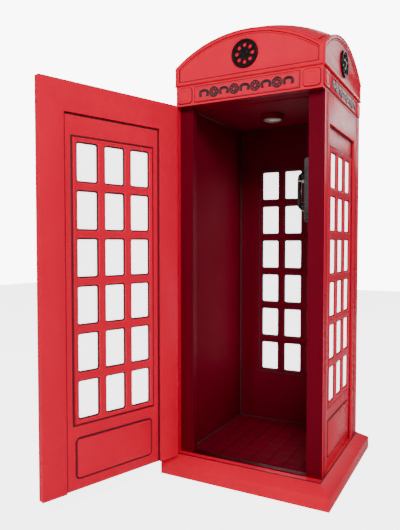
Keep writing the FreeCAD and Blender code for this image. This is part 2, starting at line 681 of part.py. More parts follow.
def make_hinges():
    """Three butt hinges standing off the corner; pins belong to the fixed halves."""
    place, half = -size("hinge_place"), size("hinge_half")
    near, thick, long_leaf = size("leaf_near"), size("leaf_thick"), size("leaf_long")
    notch, middle = size("leaf_notch"), size("knuckle_half")
    gap = size("knuckle_gap")
    fixed_halves, moving_halves = [], []
    for index in range(3):
        base = FreeCAD.Vector(place, place, size("hinge_low") + index * size("hinge_pitch"))

        def at(across, along, high):
            return base + FreeCAD.Vector(across, along, high)

        knuckle = half - middle - gap
        fixed = Part.makeCylinder(size("pin_radius"), 2 * half, at(0, 0, -half))
        for low in (-half, middle + gap):
            fixed = fixed.fuse(Part.makeCylinder(size("barrel_radius"), knuckle, at(0, 0, low)))
            fixed = fixed.fuse(Part.makeBox(thick, notch, knuckle, at(near, 0, low)))
        fixed = fixed.fuse(
            Part.makeBox(thick, long_leaf - notch, 2 * half, at(near, notch, -half)))
        fixed_halves.append(fixed.removeSplitter())
        moving = Part.makeCylinder(size("barrel_radius"), 2 * middle, at(0, 0, -middle))
        moving = moving.fuse(Part.makeBox(notch, thick, 2 * middle, at(0, near, -middle)))
        moving = moving.fuse(
            Part.makeBox(long_leaf - notch, thick, 2 * half, at(notch, near, -half)))
        bore = Part.makeCylinder(size("pin_radius") + size("pin_play"), 2 * half, at(0, 0, -half))
        moving_halves.append(moving.cut(bore).removeSplitter())
    own_shape(Part.makeCompound(fixed_halves), "hinges_fixed")
    own_shape(Part.makeCompound(moving_halves), "hinges_moving", door_swing())


# ---------------------------------------------------------------- build, check, write

make_plinth()
make_floor()
make_posts()
for wall in WALLS:
    make_wall(wall)
    make_sash(f"sash_{wall}", turned(wall))
    make_panes(f"panes_{wall}", turned(wall))
for side_name in SIDE_TURNS:
    make_fascia(side_name)
    make_pediment(side_name)
make_fascia_blocks()
make_dome()
make_rosettes()
make_ceiling()
make_linings()
make_phone_case()
make_faceplate()
make_dial_wheel()
make_phone_controls()
make_cord_gland()
make_handset()
make_door()
make_door_pull()
make_hinges()
doc.recompute()

faults = [item.Name for item in doc.Objects if {"Invalid", "Error"} & set(item.State)]
for part in subparts:
    if part.Shape.isNull() or not part.Shape.isValid():
        faults.append(part.Label)
if faults:
    raise RuntimeError(f"these objects failed: {faults}")

os.makedirs("parts", exist_ok=True)
for part in subparts:
    part.Shape.exportStep(f"parts/{part.Label}.step")
print(f"{len(subparts)} sub-parts written")
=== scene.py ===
# %% [markdown]
# # A cast-iron telephone kiosk
#
# The object is a public telephone kiosk: a square cast-iron box on a stepped plinth, three glazed walls,
# a glazed door standing open, four arched pediments and a shallow dome.  The CAD frame fixes every size,
# so this lesson only makes the surfaces: castings with soft edges, mouldings, milk glass, screws and paint.

# %% Load the frame
import json
import math

import bmesh
import bpy
from mathutils import Matrix, Vector


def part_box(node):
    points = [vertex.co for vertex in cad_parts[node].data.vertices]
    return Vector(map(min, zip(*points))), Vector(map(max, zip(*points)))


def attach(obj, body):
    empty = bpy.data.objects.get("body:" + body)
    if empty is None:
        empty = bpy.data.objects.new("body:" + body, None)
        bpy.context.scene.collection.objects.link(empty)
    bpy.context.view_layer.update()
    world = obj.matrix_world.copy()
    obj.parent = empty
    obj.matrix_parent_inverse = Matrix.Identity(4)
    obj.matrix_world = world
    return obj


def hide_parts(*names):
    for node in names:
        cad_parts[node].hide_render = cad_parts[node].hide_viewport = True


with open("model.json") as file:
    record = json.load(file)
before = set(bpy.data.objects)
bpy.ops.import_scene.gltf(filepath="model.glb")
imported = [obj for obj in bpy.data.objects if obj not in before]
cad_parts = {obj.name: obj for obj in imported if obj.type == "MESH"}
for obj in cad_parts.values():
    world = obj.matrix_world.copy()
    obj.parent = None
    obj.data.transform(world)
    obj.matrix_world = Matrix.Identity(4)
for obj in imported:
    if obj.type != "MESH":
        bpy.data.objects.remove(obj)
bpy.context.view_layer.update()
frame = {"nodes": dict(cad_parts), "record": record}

# %% [markdown]
# The camera stands a little above head height to the right of the doorway and looks across the open door.
# A real camera at one point is used, with no lens shift, so that other views only have to move it.

# %% Camera
CAMERA_PLACE = (1.264, -3.360, 1.450)
CAMERA_TURN = math.radians(28.3)
CAMERA_TILT = math.radians(-2.2)
LENS_MM = 36.27

camera = bpy.data.objects.new("camera", bpy.data.cameras.new("camera"))
camera.location = CAMERA_PLACE
camera.rotation_euler = (math.pi / 2 + CAMERA_TILT, 0.0, CAMERA_TURN)
camera.data.lens = LENS_MM
bpy.context.collection.objects.link(camera)
bpy.context.scene.camera = camera

# %% [markdown]
# A plain pale floor and three wide, soft lamps make a simple studio.

# %% Studio
FLOOR_HALF = 14.0


def soft_lamp(name, place, aim, power, width):
    """A square area lamp that looks at a point."""
    lamp = bpy.data.objects.new(name, bpy.data.lights.new(name, "AREA"))
    lamp.data.energy = power
    lamp.data.size = width
    lamp.location = place
    lamp.rotation_euler = (Vector(aim) - Vector(place)).to_track_quat("-Z", "Y").to_euler()
    bpy.context.collection.objects.link(lamp)
    return lamp


soft_lamp("key_lamp", (3.0, -5.8, 5.4), (0.0, 0.0, 1.3), 410.0, 2.2)
soft_lamp("fill_lamp", (-3.5, -5.5, 3.0), (0.0, 0.0, 1.3), 90.0, 4.0)
soft_lamp("back_lamp", (1.0, 6.5, 5.0), (0.0, 0.0, 1.5), 170.0, 4.0)

AIR_LIGHT, AIR_SEEN, FLOOR_SEEN = 0.22, 9.0, 4.2
studio_air = bpy.data.worlds.new("studio_air")
studio_air.use_nodes = True
air_nodes, air_links = studio_air.node_tree.nodes, studio_air.node_tree.links
air_nodes["Background"].inputs["Color"].default_value = (1.0, 1.0, 1.0, 1.0)
seen = air_nodes.new("ShaderNodeLightPath")
strength = air_nodes.new("ShaderNodeMath")
strength.operation = "MULTIPLY_ADD"
strength.inputs[1].default_value = AIR_SEEN - AIR_LIGHT
strength.inputs[2].default_value = AIR_LIGHT
air_links.new(seen.outputs["Is Camera Ray"], strength.inputs[0])
air_links.new(strength.outputs[0], air_nodes["Background"].inputs["Strength"])
bpy.context.scene.world = studio_air

floor_mesh = bpy.data.meshes.new("studio_floor")
floor_mesh.from_pydata([(-FLOOR_HALF, -FLOOR_HALF, 0), (FLOOR_HALF, -FLOOR_HALF, 0),
                        (FLOOR_HALF, FLOOR_HALF, 0), (-FLOOR_HALF, FLOOR_HALF, 0)], [], [(0, 1, 2, 3)])
studio_floor = bpy.data.objects.new("studio_floor", floor_mesh)
bpy.context.collection.objects.link(studio_floor)
floor_paint = bpy.data.materials.new("studio_floor_paint")
floor_paint.use_nodes = True
floor_shader = floor_paint.node_tree.nodes["Principled BSDF"]
floor_shader.inputs["Base Color"].default_value = (0.93, 0.93, 0.93, 1.0)
floor_shader.inputs["Roughness"].default_value = 0.9
floor_shader.inputs["Emission Color"].default_value = (FLOOR_SEEN, FLOOR_SEEN, FLOOR_SEEN, 1.0)
floor_seen = floor_paint.node_tree.nodes.new("ShaderNodeLightPath")
floor_paint.node_tree.links.new(floor_seen.outputs["Is Camera Ray"],
                                floor_shader.inputs["Emission Strength"])
floor_mesh.materials.append(floor_paint)

# %% [markdown]
# Every size below is read from the CAD frame.  A wall is drawn once, flat, as if it were the front wall:
# `across` runs to the right, `up` runs up and `out` runs towards the viewer.  A matrix then carries the
# drawing to its side of the kiosk, and one more matrix carries the closed door to where it stands open.

# %% Sizes from the frame
def low(node, axis):
    """Lowest coordinate of a CAD node along an axis number."""
    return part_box(node)[0][axis]


def high(node, axis):
    """Highest coordinate of a CAD node along an axis number."""
    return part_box(node)[1][axis]


BODY_HALF = high("fascia_right", 0)
WALL_INNER = low("stiles_right", 0)
WALL_HALF = high("stiles_right", 1)
SASH_LOW, SASH_HIGH = low("sash_right", 2), high("sash_right", 2)
SASH_HALF = high("sash_right", 1)
SASH_IN, SASH_OUT = low("sash_right", 0), high("sash_right", 0)
GLASS_IN, GLASS_OUT = low("panes_right", 0), high("panes_right", 0)
BASE_TOP = low("post_front_left", 2)
WALL_TOP = high("post_front_left", 2)
RECESS_DEEP = 0.017
RECESS_OUT = BODY_HALF - RECESS_DEEP
BAND_INNER = 0.317
RECESS_TOP = 2.139
SASH_BOX = (-SASH_HALF, SASH_LOW, SASH_HALF, SASH_HIGH)
FIELD_BOX = (-0.250, 0.190, 0.250, 0.400)
DOOR_LOW, DOOR_TOP = low("door_bottom_panel", 2), high("door_top_rail", 2)
DOOR_HALF = 0.457
DOOR_WEB_IN = 0.432
PANE_WIDE, PANE_TALL, BAR = 0.135, 0.215, 0.040
COLUMNS, ROWS = 3, 6

FRONT = Matrix(((1, 0, 0, 0), (0, 0, -1, 0), (0, 1, 0, 0), (0, 0, 0, 1)))


def about(joint, angle):
    """Matrix that turns a body about a joint's axis by an angle in radians."""
    pivot = Matrix.Translation(Vector(joint["pos_m"]))
    return pivot @ Matrix.Rotation(angle, 4, Vector(joint["axis"])) @ pivot.inverted()


SIDES = ("front", "right", "back", "left")
PLACE = {side: Matrix.Rotation(math.pi / 2 * turn, 4, "Z") @ FRONT
         for turn, side in enumerate(SIDES)}
door_joint = next(joint for joint in frame["record"]["behaviour"]["joints"]
                  if joint["name"] == "door_hinge")
PLACE["door"] = about(door_joint, -math.radians(door_joint["range_deg"][0])) @ FRONT
PLACE["phone"] = PLACE["left"]
WALLS = ("right", "back", "left")
print("walls", round(2 * BODY_HALF, 3), "m wide, door open", -door_joint["range_deg"][0], "degrees")

# %% [markdown]
# Shader and geometry trees are written as sums.  `Sum` wraps one output socket, and the ordinary
# operators add Math nodes behind it, so `1 - mask * 0.5` reads like arithmetic.

# %% Tree writing
class Sum:
    """An output socket on which Python's operators add Math nodes."""

    def __init__(self, tree, socket):
        self.tree = tree
        self.socket = socket

    def math(self, operation, *others):
        return add_node(self.tree, "ShaderNodeMath", {"operation": operation},
                        dict(enumerate((self, *others))))

    def __add__(self, other):
        return self.math("ADD", other)

    __radd__ = __add__

    def __mul__(self, other):
        return self.math("MULTIPLY", other)

    __rmul__ = __mul__

    def __sub__(self, other):
        return self.math("SUBTRACT", other)

    def __rsub__(self, other):
        return add_node(self.tree, "ShaderNodeMath", {"operation": "SUBTRACT"}, {0: other, 1: self})

    def __lt__(self, other):
        return self.math("LESS_THAN", other)

    def __abs__(self):
        return self.math("ABSOLUTE")

    def smooth(self, start, finish):
        """0 before start, 1 after finish, and a smooth ramp between."""
        return add_node(self.tree, "ShaderNodeMapRange", {"interpolation_type": "SMOOTHSTEP"},
                        {"Value": self, "From Min": start, "From Max": finish})


def plug(tree, socket, value):
    """Feed an input socket from a value, a Sum, or several Sums."""
    if isinstance(value, (list, tuple)) and value and isinstance(value[0], Sum):
        for item in value:
            tree.links.new(item.socket, socket)
    elif isinstance(value, Sum):
        tree.links.new(value.socket, socket)
    else:
        socket.default_value = value


def add_node(tree, kind, settings=None, inputs=None, output=0):
    """Any node: its settings first, then its sockets by name or number; gives one output."""
    node = tree.nodes.new(kind)
    for name, value in (settings or {}).items():
        setattr(node, name, value)
    for name, value in (inputs or {}).items():
        plug(tree, node.inputs[name], value)
    return Sum(tree, node.outputs[output])


# %% [markdown]
# Paint is never one flat colour.  Enamel on cast iron shows a faint orange-peel texture, wide soft
# patches where the sun has faded it, a few runs, and fine dirt that softens the gloss.  The same casting
# is red outside and maroon inside, so the paint's colour changes at a box in the object's own
# coordinates: what lies inside the box is cabin.

# %% Paint colours and the enamel material
RED = (0.92, 0.0, 0.040, 1.0)
RED_DEEP = (0.62, 0.0, 0.024, 1.0)
MAROON = (0.150, 0.0, 0.010, 1.0)
MAROON_DEEP = (0.085, 0.0, 0.005, 1.0)


def new_material(name):
    """An empty node material with its shader and its object coordinates."""
    material = bpy.data.materials.new(name)
    material.use_nodes = True
    tree = material.node_tree
    tree.nodes.clear()
    shader = tree.nodes.new("ShaderNodeBsdfPrincipled")
    finish = tree.nodes.new("ShaderNodeOutputMaterial")
    tree.links.new(shader.outputs[0], finish.inputs["Surface"])
    place = add_node(tree, "ShaderNodeTexCoord", output="Object")
    return material, tree, shader, place


def noise(tree, place, scale, detail=3.0, stretch=None):
    """Noise in metres-based coordinates; stretch squeezes it along an axis."""
    if stretch:
        place = add_node(tree, "ShaderNodeMapping", None, {"Vector": place, "Scale": stretch})
    return add_node(tree, "ShaderNodeTexNoise", None,
                    {"Vector": place, "Scale": scale, "Detail": detail, "Roughness": 0.55})


def blend_colours(tree, factor, first, second):
    """Mix two colours by a factor."""
    return add_node(tree, "ShaderNodeMix", {"data_type": "RGBA"},
                    {"Factor": factor, 6: first, 7: second}, output=2)


def dimmed(colour, factor):
    """A colour made darker, and still opaque."""
    return tuple(factor * part for part in colour[:3]) + (1.0,)


def coat(tree, shader, colour, roughness, height, strength, distance):
    """Give a shader its colour, its roughness and a bump."""
    plug(tree, shader.inputs["Base Color"], colour)
    plug(tree, shader.inputs["Roughness"], roughness)
    bump = {"Strength": strength, "Distance": distance, "Height": height}
    plug(tree, shader.inputs["Normal"], add_node(tree, "ShaderNodeBump", None, bump))


def inside_mask(tree, place, half_x, half_y, top):
    """1 within a box about the kiosk's upright axis and under a height."""
    split = tree.nodes.new("ShaderNodeSeparateXYZ")
    tree.links.new(place.socket, split.inputs[0])
    x, y, z = (Sum(tree, split.outputs[axis]) for axis in range(3))
    return (abs(x) < half_x) * (abs(y) < half_y) * (z < top)


def enamel(name, cabin=None, red=RED, deep=RED_DEEP, gloss=0.08):
    """Gloss enamel: red outside, maroon within the cabin box if one is given."""
    material, tree, shader, place = new_material(name)
    fade = noise(tree, place, 1.6, 4.0).smooth(0.32, 0.70)
    runs = noise(tree, place, 9.0, 5.0, (1.0, 1.0, 0.16)).smooth(0.45, 0.80)
    tone = 0.10 + fade * 0.20 + runs * 0.14
    colour = blend_colours(tree, tone, red, deep)
    roughness = 0.20 + fade * 0.08 + noise(tree, place, 38.0, 4.0) * 0.12
    if cabin:
        dark = blend_colours(tree, tone, MAROON, MAROON_DEEP)
        mask = inside_mask(tree, place, *cabin)
        colour = blend_colours(tree, mask, colour, dark)
        roughness = roughness + mask * 0.30
    shader.inputs["Specular IOR Level"].default_value = gloss
    peel = noise(tree, place, 240.0, 2.0) * 0.6 + noise(tree, place, 42.0, 3.0) * 0.9
    coat(tree, shader, colour, roughness, peel, 0.10, 0.002)
    return material


CABIN = (WALL_INNER + 0.0035, WALL_INNER + 0.0035, WALL_TOP + 0.5)
red_enamel = enamel("red_enamel")
wall_enamel = enamel("wall_enamel", CABIN)
window_enamel = enamel("window_enamel", (WALL_INNER + 0.020, WALL_INNER + 0.020, WALL_TOP))
jamb_enamel = enamel("jamb_enamel", (BODY_HALF - 0.0015, -low("post_front_right", 1) + 0.001, 9.0))
fascia_enamel = enamel("fascia_enamel", (BODY_HALF + 0.02, BODY_HALF + 0.02, WALL_TOP + 0.0012))
maroon_enamel = enamel("maroon_enamel", (9.0, 9.0, 9.0), gloss=0.03)
black_enamel = enamel("black_enamel", None, (0.012, 0.010, 0.010, 1.0), (0.004, 0.004, 0.004, 1.0))
sign_enamel = enamel("sign_enamel", None, (0.84, 0.010, 0.050, 1.0), (0.70, 0.006, 0.035, 1.0))

# %% [markdown]
# Glass, stone, moulded plastic and bright steel are the other finishes.  The panes are milk glass: white
# right through, glossy, and a little see-through, with the slow ripple of rolled sheet.  They also carry a
# painted glow, an emission that stands in for daylight shining through them and keeps them white in shade.

# %% Glass, tile, plastic and steel
def milk_glass(name, tint, painted_glow):
    """White glass with a slow ripple; its emission is a painted glow that stands in for light from behind.
    """
    material, tree, shader, place = new_material(name)
    cloud = noise(tree, place, 2.3, 3.0).smooth(0.35, 0.75)
    colour = blend_colours(tree, cloud, tint, dimmed(tint, 0.94))
    roughness = 0.10 + noise(tree, place, 30.0) * 0.10
    shader.inputs["Transmission Weight"].default_value = 0.15
    shader.inputs["IOR"].default_value = 1.5
    # Painted light: the emission makes the glass glow, standing in for daylight through it and hiding its
    # shade.
    shader.inputs["Emission Color"].default_value = tint
    shader.inputs["Emission Strength"].default_value = painted_glow
    ripple = noise(tree, place, 7.0, 2.0) + noise(tree, place, 22.0, 2.0) * 0.3
    coat(tree, shader, colour, roughness, ripple, 0.12, 0.01)
    return material


TILE = 0.1045


def quarry_tile():
    """Dark red fired tiles, mottled, laid square with darker sunken joints."""
    material, tree, shader, place = new_material("quarry_tile")
    mottle = noise(tree, place, 14.0, 6.0).smooth(0.3, 0.7)
    colour = blend_colours(tree, mottle, (0.105, 0.0, 0.006, 1.0), (0.150, 0.001, 0.010, 1.0))
    mortar = add_node(tree, "ShaderNodeTexBrick", {"offset": 0.0},
                      {"Vector": place, "Scale": 1.0, "Mortar Size": 0.003, "Mortar Smooth": 0.4,
                       "Brick Width": TILE, "Row Height": TILE}, output=1)
    laid = blend_colours(tree, mortar, colour, (0.030, 0.001, 0.004, 1.0))
    roughness = 0.60 + mottle * 0.2 + mortar * 0.15
    shader.inputs["Specular IOR Level"].default_value = 0.04
    height = noise(tree, place, 320.0, 2.0) * 0.25 - mortar
    coat(tree, shader, laid, roughness, height, 0.5, 0.002)
    return material


def moulded(name, colour, dull=0.18):
    """Moulded plastic or rubber: nearly one colour, with rubbed and fingered gloss."""
    material, tree, shader, place = new_material(name)
    rub = noise(tree, place, 26.0, 5.0).smooth(0.35, 0.75)
    lighter = tuple(part * 1.6 + 0.004 for part in colour[:3]) + (1.0,)
    coat(tree, shader, blend_colours(tree, rub * 0.6, colour, lighter), dull + rub * 0.16,
         noise(tree, place, 500.0, 2.0), 0.06, 0.0005)
    return material


def brushed(name, colour, stretch):
    """Worn bright metal with fine scratches along one way."""
    material, tree, shader, place = new_material(name)
    scratch = noise(tree, place, 60.0, 6.0, stretch)
    shader.inputs["Metallic"].default_value = 1.0
    coat(tree, shader, blend_colours(tree, scratch, colour, dimmed(colour, 0.72)),
         0.22 + scratch * 0.22, scratch, 0.08, 0.0004)
    return material


# The panes' emission of 2.4 is painted light: a glow that keeps them white where they would be in shade.
pane_glass = milk_glass("milk_glass", (0.93, 0.93, 0.935, 1.0), 2.4)
lamp_glass = milk_glass("lamp_glass", (0.34, 0.30, 0.25, 1.0), 0.0)
floor_tile = quarry_tile()
black_plastic = moulded("black_plastic", (0.0045, 0.0045, 0.005, 1.0))
sign_black = moulded("sign_black", (0.006, 0.006, 0.006, 1.0), 0.30)
putty_black = moulded("putty_black", (0.010, 0.009, 0.009, 1.0), 0.55)
digit_white = moulded("digit_white", (0.70, 0.70, 0.66, 1.0), 0.4)
bright_steel = brushed("bright_steel", (0.62, 0.62, 0.63, 1.0), (8.0, 1.0, 1.0))
worn_steel = brushed("worn_steel", (0.110, 0.028, 0.034, 1.0), (1.0, 9.0, 1.0))

# %% [markdown]
# Mesh helpers.  A cast plate is an outline with holes, filled, given its thickness and then softened:
# the small bevel matters most, because a real casting has no knife edge and every edge catches light.

# %% Outlines, plates and mouldings
SOFT_EDGE = 0.0022
SHARP = math.radians(28.0)


def rectangle(left, bottom, right, top, corner=0.0, steps=5):
    """Corners of an upright rectangle, rounded if a corner radius is given."""
    if corner <= 0.0:
        return [(left, bottom), (right, bottom), (right, top), (left, top)]
    loop = []
    centres = ((right - corner, bottom + corner, -90), (right - corner, top - corner, 0),
               (left + corner, top - corner, 90), (left + corner, bottom + corner, 180))
    for across, up, start in centres:
        for step in range(steps + 1):
            angle = math.radians(start + 90.0 * step / steps)
            loop.append((across + corner * math.cos(angle), up + corner * math.sin(angle)))
    return loop


def inset(box, by, corner=0.0):
    """A rectangle that stands inside a box of left, bottom, right and top by an amount."""
    left, bottom, right, top = box
    return rectangle(left + by, bottom + by, right - by, top - by, corner)


def ring(radius, count, middle=(0.0, 0.0)):
    """Points on a circle."""
    turns = (2.0 * math.pi * index / count for index in range(count))
    return [(middle[0] + radius * math.cos(turn), middle[1] + radius * math.sin(turn))
            for turn in turns]


def to_mesh(shape, name="shape"):
    """Free a bmesh into an ordinary mesh."""
    mesh = bpy.data.meshes.new(name)
    shape.to_mesh(mesh)
    shape.free()
    return mesh


def soften_edges(shape, width, segments=2):
    """Bevel every sharp edge; only the new narrow faces are shaded smooth."""
    sharp = [edge for edge in shape.edges
             if len(edge.link_faces) == 2 and edge.calc_face_angle(0.0) > SHARP]
    made = bmesh.ops.bevel(shape, geom=sharp, offset=width, segments=segments, profile=0.5,
                           affect="EDGES", clamp_overlap=True)
    for face in made["faces"]:
        face.smooth = True


def plate(loops, near, far, edge=SOFT_EDGE, segments=2):
    """A plate with holes, between two distances out, with rounded edges."""
    outline = bpy.data.curves.new("outline", "CURVE")
    outline.dimensions = "2D"
    outline.fill_mode = "BOTH"
    outline.extrude = (far - near) / 2.0 - edge
    outline.bevel_depth = edge
    outline.bevel_resolution = segments - 1
    outline.offset = -edge
    for loop in loops:
        spline = outline.splines.new("POLY")
        spline.points.add(len(loop) - 1)
        for point, (across, up) in zip(spline.points, loop):
            point.co = (across, up, 0.0, 1.0)
        spline.use_cyclic_u = True
    return settle(outline, (near + far) / 2.0)


def settle(curve, middle):
    """Turn a filled flat curve into a clean mesh, and set it at a distance out."""
    holder = bpy.data.objects.new("outline", curve)
    filled = bpy.data.meshes.new_from_object(holder)
    bpy.data.objects.remove(holder)
    shape = bmesh.new()
    shape.from_mesh(filled)
    bmesh.ops.remove_doubles(shape, verts=shape.verts[:], dist=1e-6)
    bmesh.ops.translate(shape, verts=shape.verts[:], vec=(0.0, 0.0, middle))
    bmesh.ops.recalc_face_normals(shape, faces=shape.faces[:])
    for face in shape.faces:
        face.smooth = abs(face.normal.z) < 0.98
    mesh = to_mesh(shape)
    mesh.set_sharp_from_angle(angle=math.radians(38.0))
    return mesh


def cast_copy(node, edge=SOFT_EDGE, segments=2):
    """A CAD node's own mesh, merged and cleaned, with its edges softened."""
    shape = bmesh.new()
    shape.from_mesh(frame["nodes"][node].data)
    bmesh.ops.remove_doubles(shape, verts=shape.verts[:], dist=1e-6)
    bmesh.ops.dissolve_limit(shape, angle_limit=math.radians(0.5), verts=shape.verts[:],
                             edges=shape.edges[:])
    soften_edges(shape, edge, segments)
    return to_mesh(shape)


def moulding(path, profile, closed=True):
    """A strip swept along a flat path with true mitres; profile points are (aside, out)."""
    shape = bmesh.new()
    count = len(path)
    rings = []
    for index in range(count):
        here = Vector(path[index])
        before = Vector(path[index - 1]) if closed or index else None
        after = Vector(path[(index + 1) % count]) if closed or index < count - 1 else None
        ways = [(here - before).normalized()] if before is not None else []
        ways += [(after - here).normalized()] if after is not None else []
        way = sum(ways, Vector((0.0, 0.0))).normalized()
        aside = Vector((way.y, -way.x))
        stretch = 1.0 / max(0.3, way.dot(ways[0]))
        rings.append([shape.verts.new((*(here + aside * (side * stretch)), out))
                      for side, out in profile])
    spans = list(zip(rings, rings[1:])) + ([(rings[-1], rings[0])] if closed else [])
    size = len(profile)
    for first, second in spans:
        for index in range(size):
            after = (index + 1) % size
            shape.faces.new((first[index], first[after], second[after], second[index])).smooth = True
    if not closed:
        shape.faces.new(rings[0])
        shape.faces.new(list(reversed(rings[-1])))
    bmesh.ops.recalc_face_normals(shape, faces=shape.faces[:])
    return to_mesh(shape)


def half_round(width, near, proud, steps=5):
    """Section of a half-round bead that stands on a face."""
    section = [(width / 2.0 * math.cos(math.pi * step / steps),
                near + proud * math.sin(math.pi * step / steps)) for step in range(steps + 1)]
    return section + [(-width / 2.0, near - 0.001), (width / 2.0, near - 0.001)]


def bead(path, width, near, proud, closed=True):
    """A half-round bead swept along a flat path."""
    return moulding(path, half_round(width, near, proud), closed)


def turned_shape(profile, count=32, hollow=False, base=0.0):
    """A lathe shape from (radius, height) points over a base; hollow ones close on themselves."""
    shape = bmesh.new()
    rings = []
    for radius, height in profile:
        if radius < 1e-6:
            rings.append([shape.verts.new((0.0, 0.0, base + height))])
        else:
            rings.append([shape.verts.new((x, y, base + height)) for x, y in ring(radius, count)])
    for first, second in zip(rings, rings[1:] + rings[:1] if hollow else rings[1:]):
        for index in range(count):
            after = (index + 1) % count
            corners = [first[index % len(first)], first[after % len(first)],
                       second[after % len(second)], second[index % len(second)]]
            corners = list(dict.fromkeys(corners))
            if len(corners) > 2:
                shape.faces.new(corners).smooth = True
    for end in (rings[0], rings[-1]):
        if len(end) > 1 and not hollow:
            shape.faces.new(end)
    bmesh.ops.recalc_face_normals(shape, faces=shape.faces[:])
    mesh = to_mesh(shape)
    mesh.set_sharp_from_angle(angle=math.radians(38.0))
    return mesh


def combine(*meshes):
    """Several meshes as one."""
    shape = bmesh.new()
    for mesh in meshes:
        shape.from_mesh(mesh)
    return to_mesh(shape)


def moved(mesh, matrix):
    """A copy of a mesh carried by a matrix."""
    copy = mesh.copy()
    copy.transform(matrix)
    copy.update()
    return copy


def all_round(mesh):
    """A wall's drawing repeated on all four sides."""
    return combine(*(moved(mesh, PLACE[side]) for side in SIDES))


def at(across, up, out=0.0):
    """Matrix that carries a shape to a spot of a drawing."""
    return Matrix.Translation((across, up, out))


# %% [markdown]
# A finished piece is a mesh with its place baked in, on an object at the origin.  A flat drawing is given
# its side of the kiosk here.  The piece rides on a CAD body, takes the material it is given, and may
# stand for CAD nodes.

# %% Finishing a piece
def finish_piece(name, mesh, material, slot, *nodes, side=None, body=None):
    """Show a mesh as a piece of the kiosk; what is drawn for the door rides on the door."""
    if side:
        mesh = moved(mesh, PLACE[side])
    body = body or ("door" if side == "door" else "kiosk")
    mesh.name = name
    mesh.materials.clear()
    mesh.materials.append(material)
    piece = bpy.data.objects.new(name, mesh)
    bpy.context.collection.objects.link(piece)
    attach(piece, body)
    if nodes:
        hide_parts(*nodes)
    print(f"{name}: {len(mesh.polygons)} faces")
    return piece


def sharpen(mesh, angle=32.0):
    """Smooth shading that stops at edges sharper than an angle in degrees."""
    mesh.shade_smooth()
    mesh.set_sharp_from_angle(angle=math.radians(angle))
    return mesh


# %% [markdown]
# ## Plinth
# The plinth is one square casting: an upright edge, then a weathered top that sheds rain away from the
# door, pierced for four anchors and the cable.  Its CAD mesh already has those holes, so it is copied,
# and a three-step bevel gives the worn, rounded edges that feet leave on a real plinth.

# %% Plinth
plinth_enamel = enamel("plinth_enamel", (WALL_HALF, WALL_HALF, 9.0))
plinth = cast_copy("plinth_base", 0.005, 3)
finish_piece("plinth", sharpen(plinth), plinth_enamel, "red_paint", "plinth_base")

# %% [markdown]
# ## Posts
# The back corners are angle castings and the front ones are plain jambs.  Their outer faces carry reeds,
# shallow round grooves that run the whole height, so the section is drawn with its reeds and extruded.

# %% Reeded corner posts
REED_DEEP = 0.0045
REED_WIDE = 0.013
JAMB_FRONT = -low("post_front_right", 1)
REBATE_THICK, REBATE_BACK = 0.004, 0.003


def reeded(start, finish, inward, grooves, steps=4):
    """Points from start to finish along a face, dipping inward at evenly spaced grooves."""
    start, finish, inward = Vector(start), Vector(finish), Vector(inward)
    way = (finish - start).normalized()
    length = (finish - start).length
    points = [start]
    for index in range(grooves):
        middle = length * (index + 1) / (grooves + 1)
        for step in range(steps + 1):
            angle = math.pi * step / steps
            along = middle - REED_WIDE / 2.0 * math.cos(angle)
            points.append(start + way * along + inward * (REED_DEEP * math.sin(angle)))
    return points


def post_mesh(back, rebated=False):
    """A post at the right-hand side: an angle at the back, a jamb at the front."""
    far, near, front = BODY_HALF, WALL_HALF, -JAMB_FRONT
    if back:
        loop = reeded((far, near), (far, far), (-1, 0), 3)
        loop += reeded((far, far), (near, far), (0, -1), 3)
        loop += [Vector((near, far)), Vector((near, WALL_INNER)), Vector((WALL_INNER, WALL_INNER)),
                 Vector((WALL_INNER, near))]
    elif rebated:
        lip, tip = far - REBATE_THICK, -(far - REBATE_BACK)
        loop = [Vector((near, -near)), Vector((near, front)), Vector((lip, front)), Vector((lip, tip))]
        loop += reeded((far, tip), (far, -near), (-1, 0), 2) + [Vector((far, -near))]
    else:
        loop = [Vector((near, -near)), Vector((near, front))]
        loop += reeded((far, front), (far, -near), (-1, 0), 1) + [Vector((far, -near))]
    return plate([[tuple(point) for point in loop]], BASE_TOP, WALL_TOP, 0.0016)


MIRROR_X = Matrix.Scale(-1.0, 4, (1, 0, 0))


def mirrored(mesh):
    """The left-hand twin of a mesh, with its faces turned the right way out again."""
    twin = moved(mesh, MIRROR_X)
    twin.flip_normals()
    return twin


finish_piece("jamb_left", mirrored(post_mesh(False, rebated=True)), jamb_enamel, "red_paint",
             "post_front_left")
finish_piece("jamb_right", post_mesh(False), jamb_enamel, "red_paint", "post_front_right")
finish_piece("reeded_post_left", mirrored(post_mesh(True)), wall_enamel, "red_paint", "post_back_left")
finish_piece("reeded_post_right", post_mesh(True), wall_enamel, "red_paint", "post_back_right")

# %% [markdown]
# ## Walls and door leaf
# A wall is a web of iron with a window hole, a raised border round three sides and a raised field below
# the window.  The door leaf is the same drawing with a border on both faces.  Every step is a real plate
# with its own softened edge, so light models it.

# %% Wall casting
FIELD_CORNER = 0.018


def upside_u(outer, inner, base, inner_top, outer_top):
    """Outline of a border open at the bottom."""
    return [(-outer, base), (-inner, base), (-inner, inner_top), (inner, inner_top),
            (inner, base), (outer, base), (outer, outer_top), (-outer, outer_top)]


def framed_wall(half, base, top, web_in, faces):
    """Web, borders and fields; faces are (inner distance, outer distance, outward sign)."""
    window = rectangle(*SASH_BOX)
    parts = [plate([rectangle(-half, base, half, top), window], web_in, RECESS_OUT)]
    for near, far, sign in faces:
        face = RECESS_OUT if sign > 0 else web_in
        parts.append(plate([upside_u(half, BAND_INNER, base, RECESS_TOP, top)], near, far))
        field = rectangle(*FIELD_BOX, FIELD_CORNER)
        parts.append(plate([field], *sorted((face - sign * 0.001, face + sign * 0.006)), 0.003, 3))
    return combine(*parts)


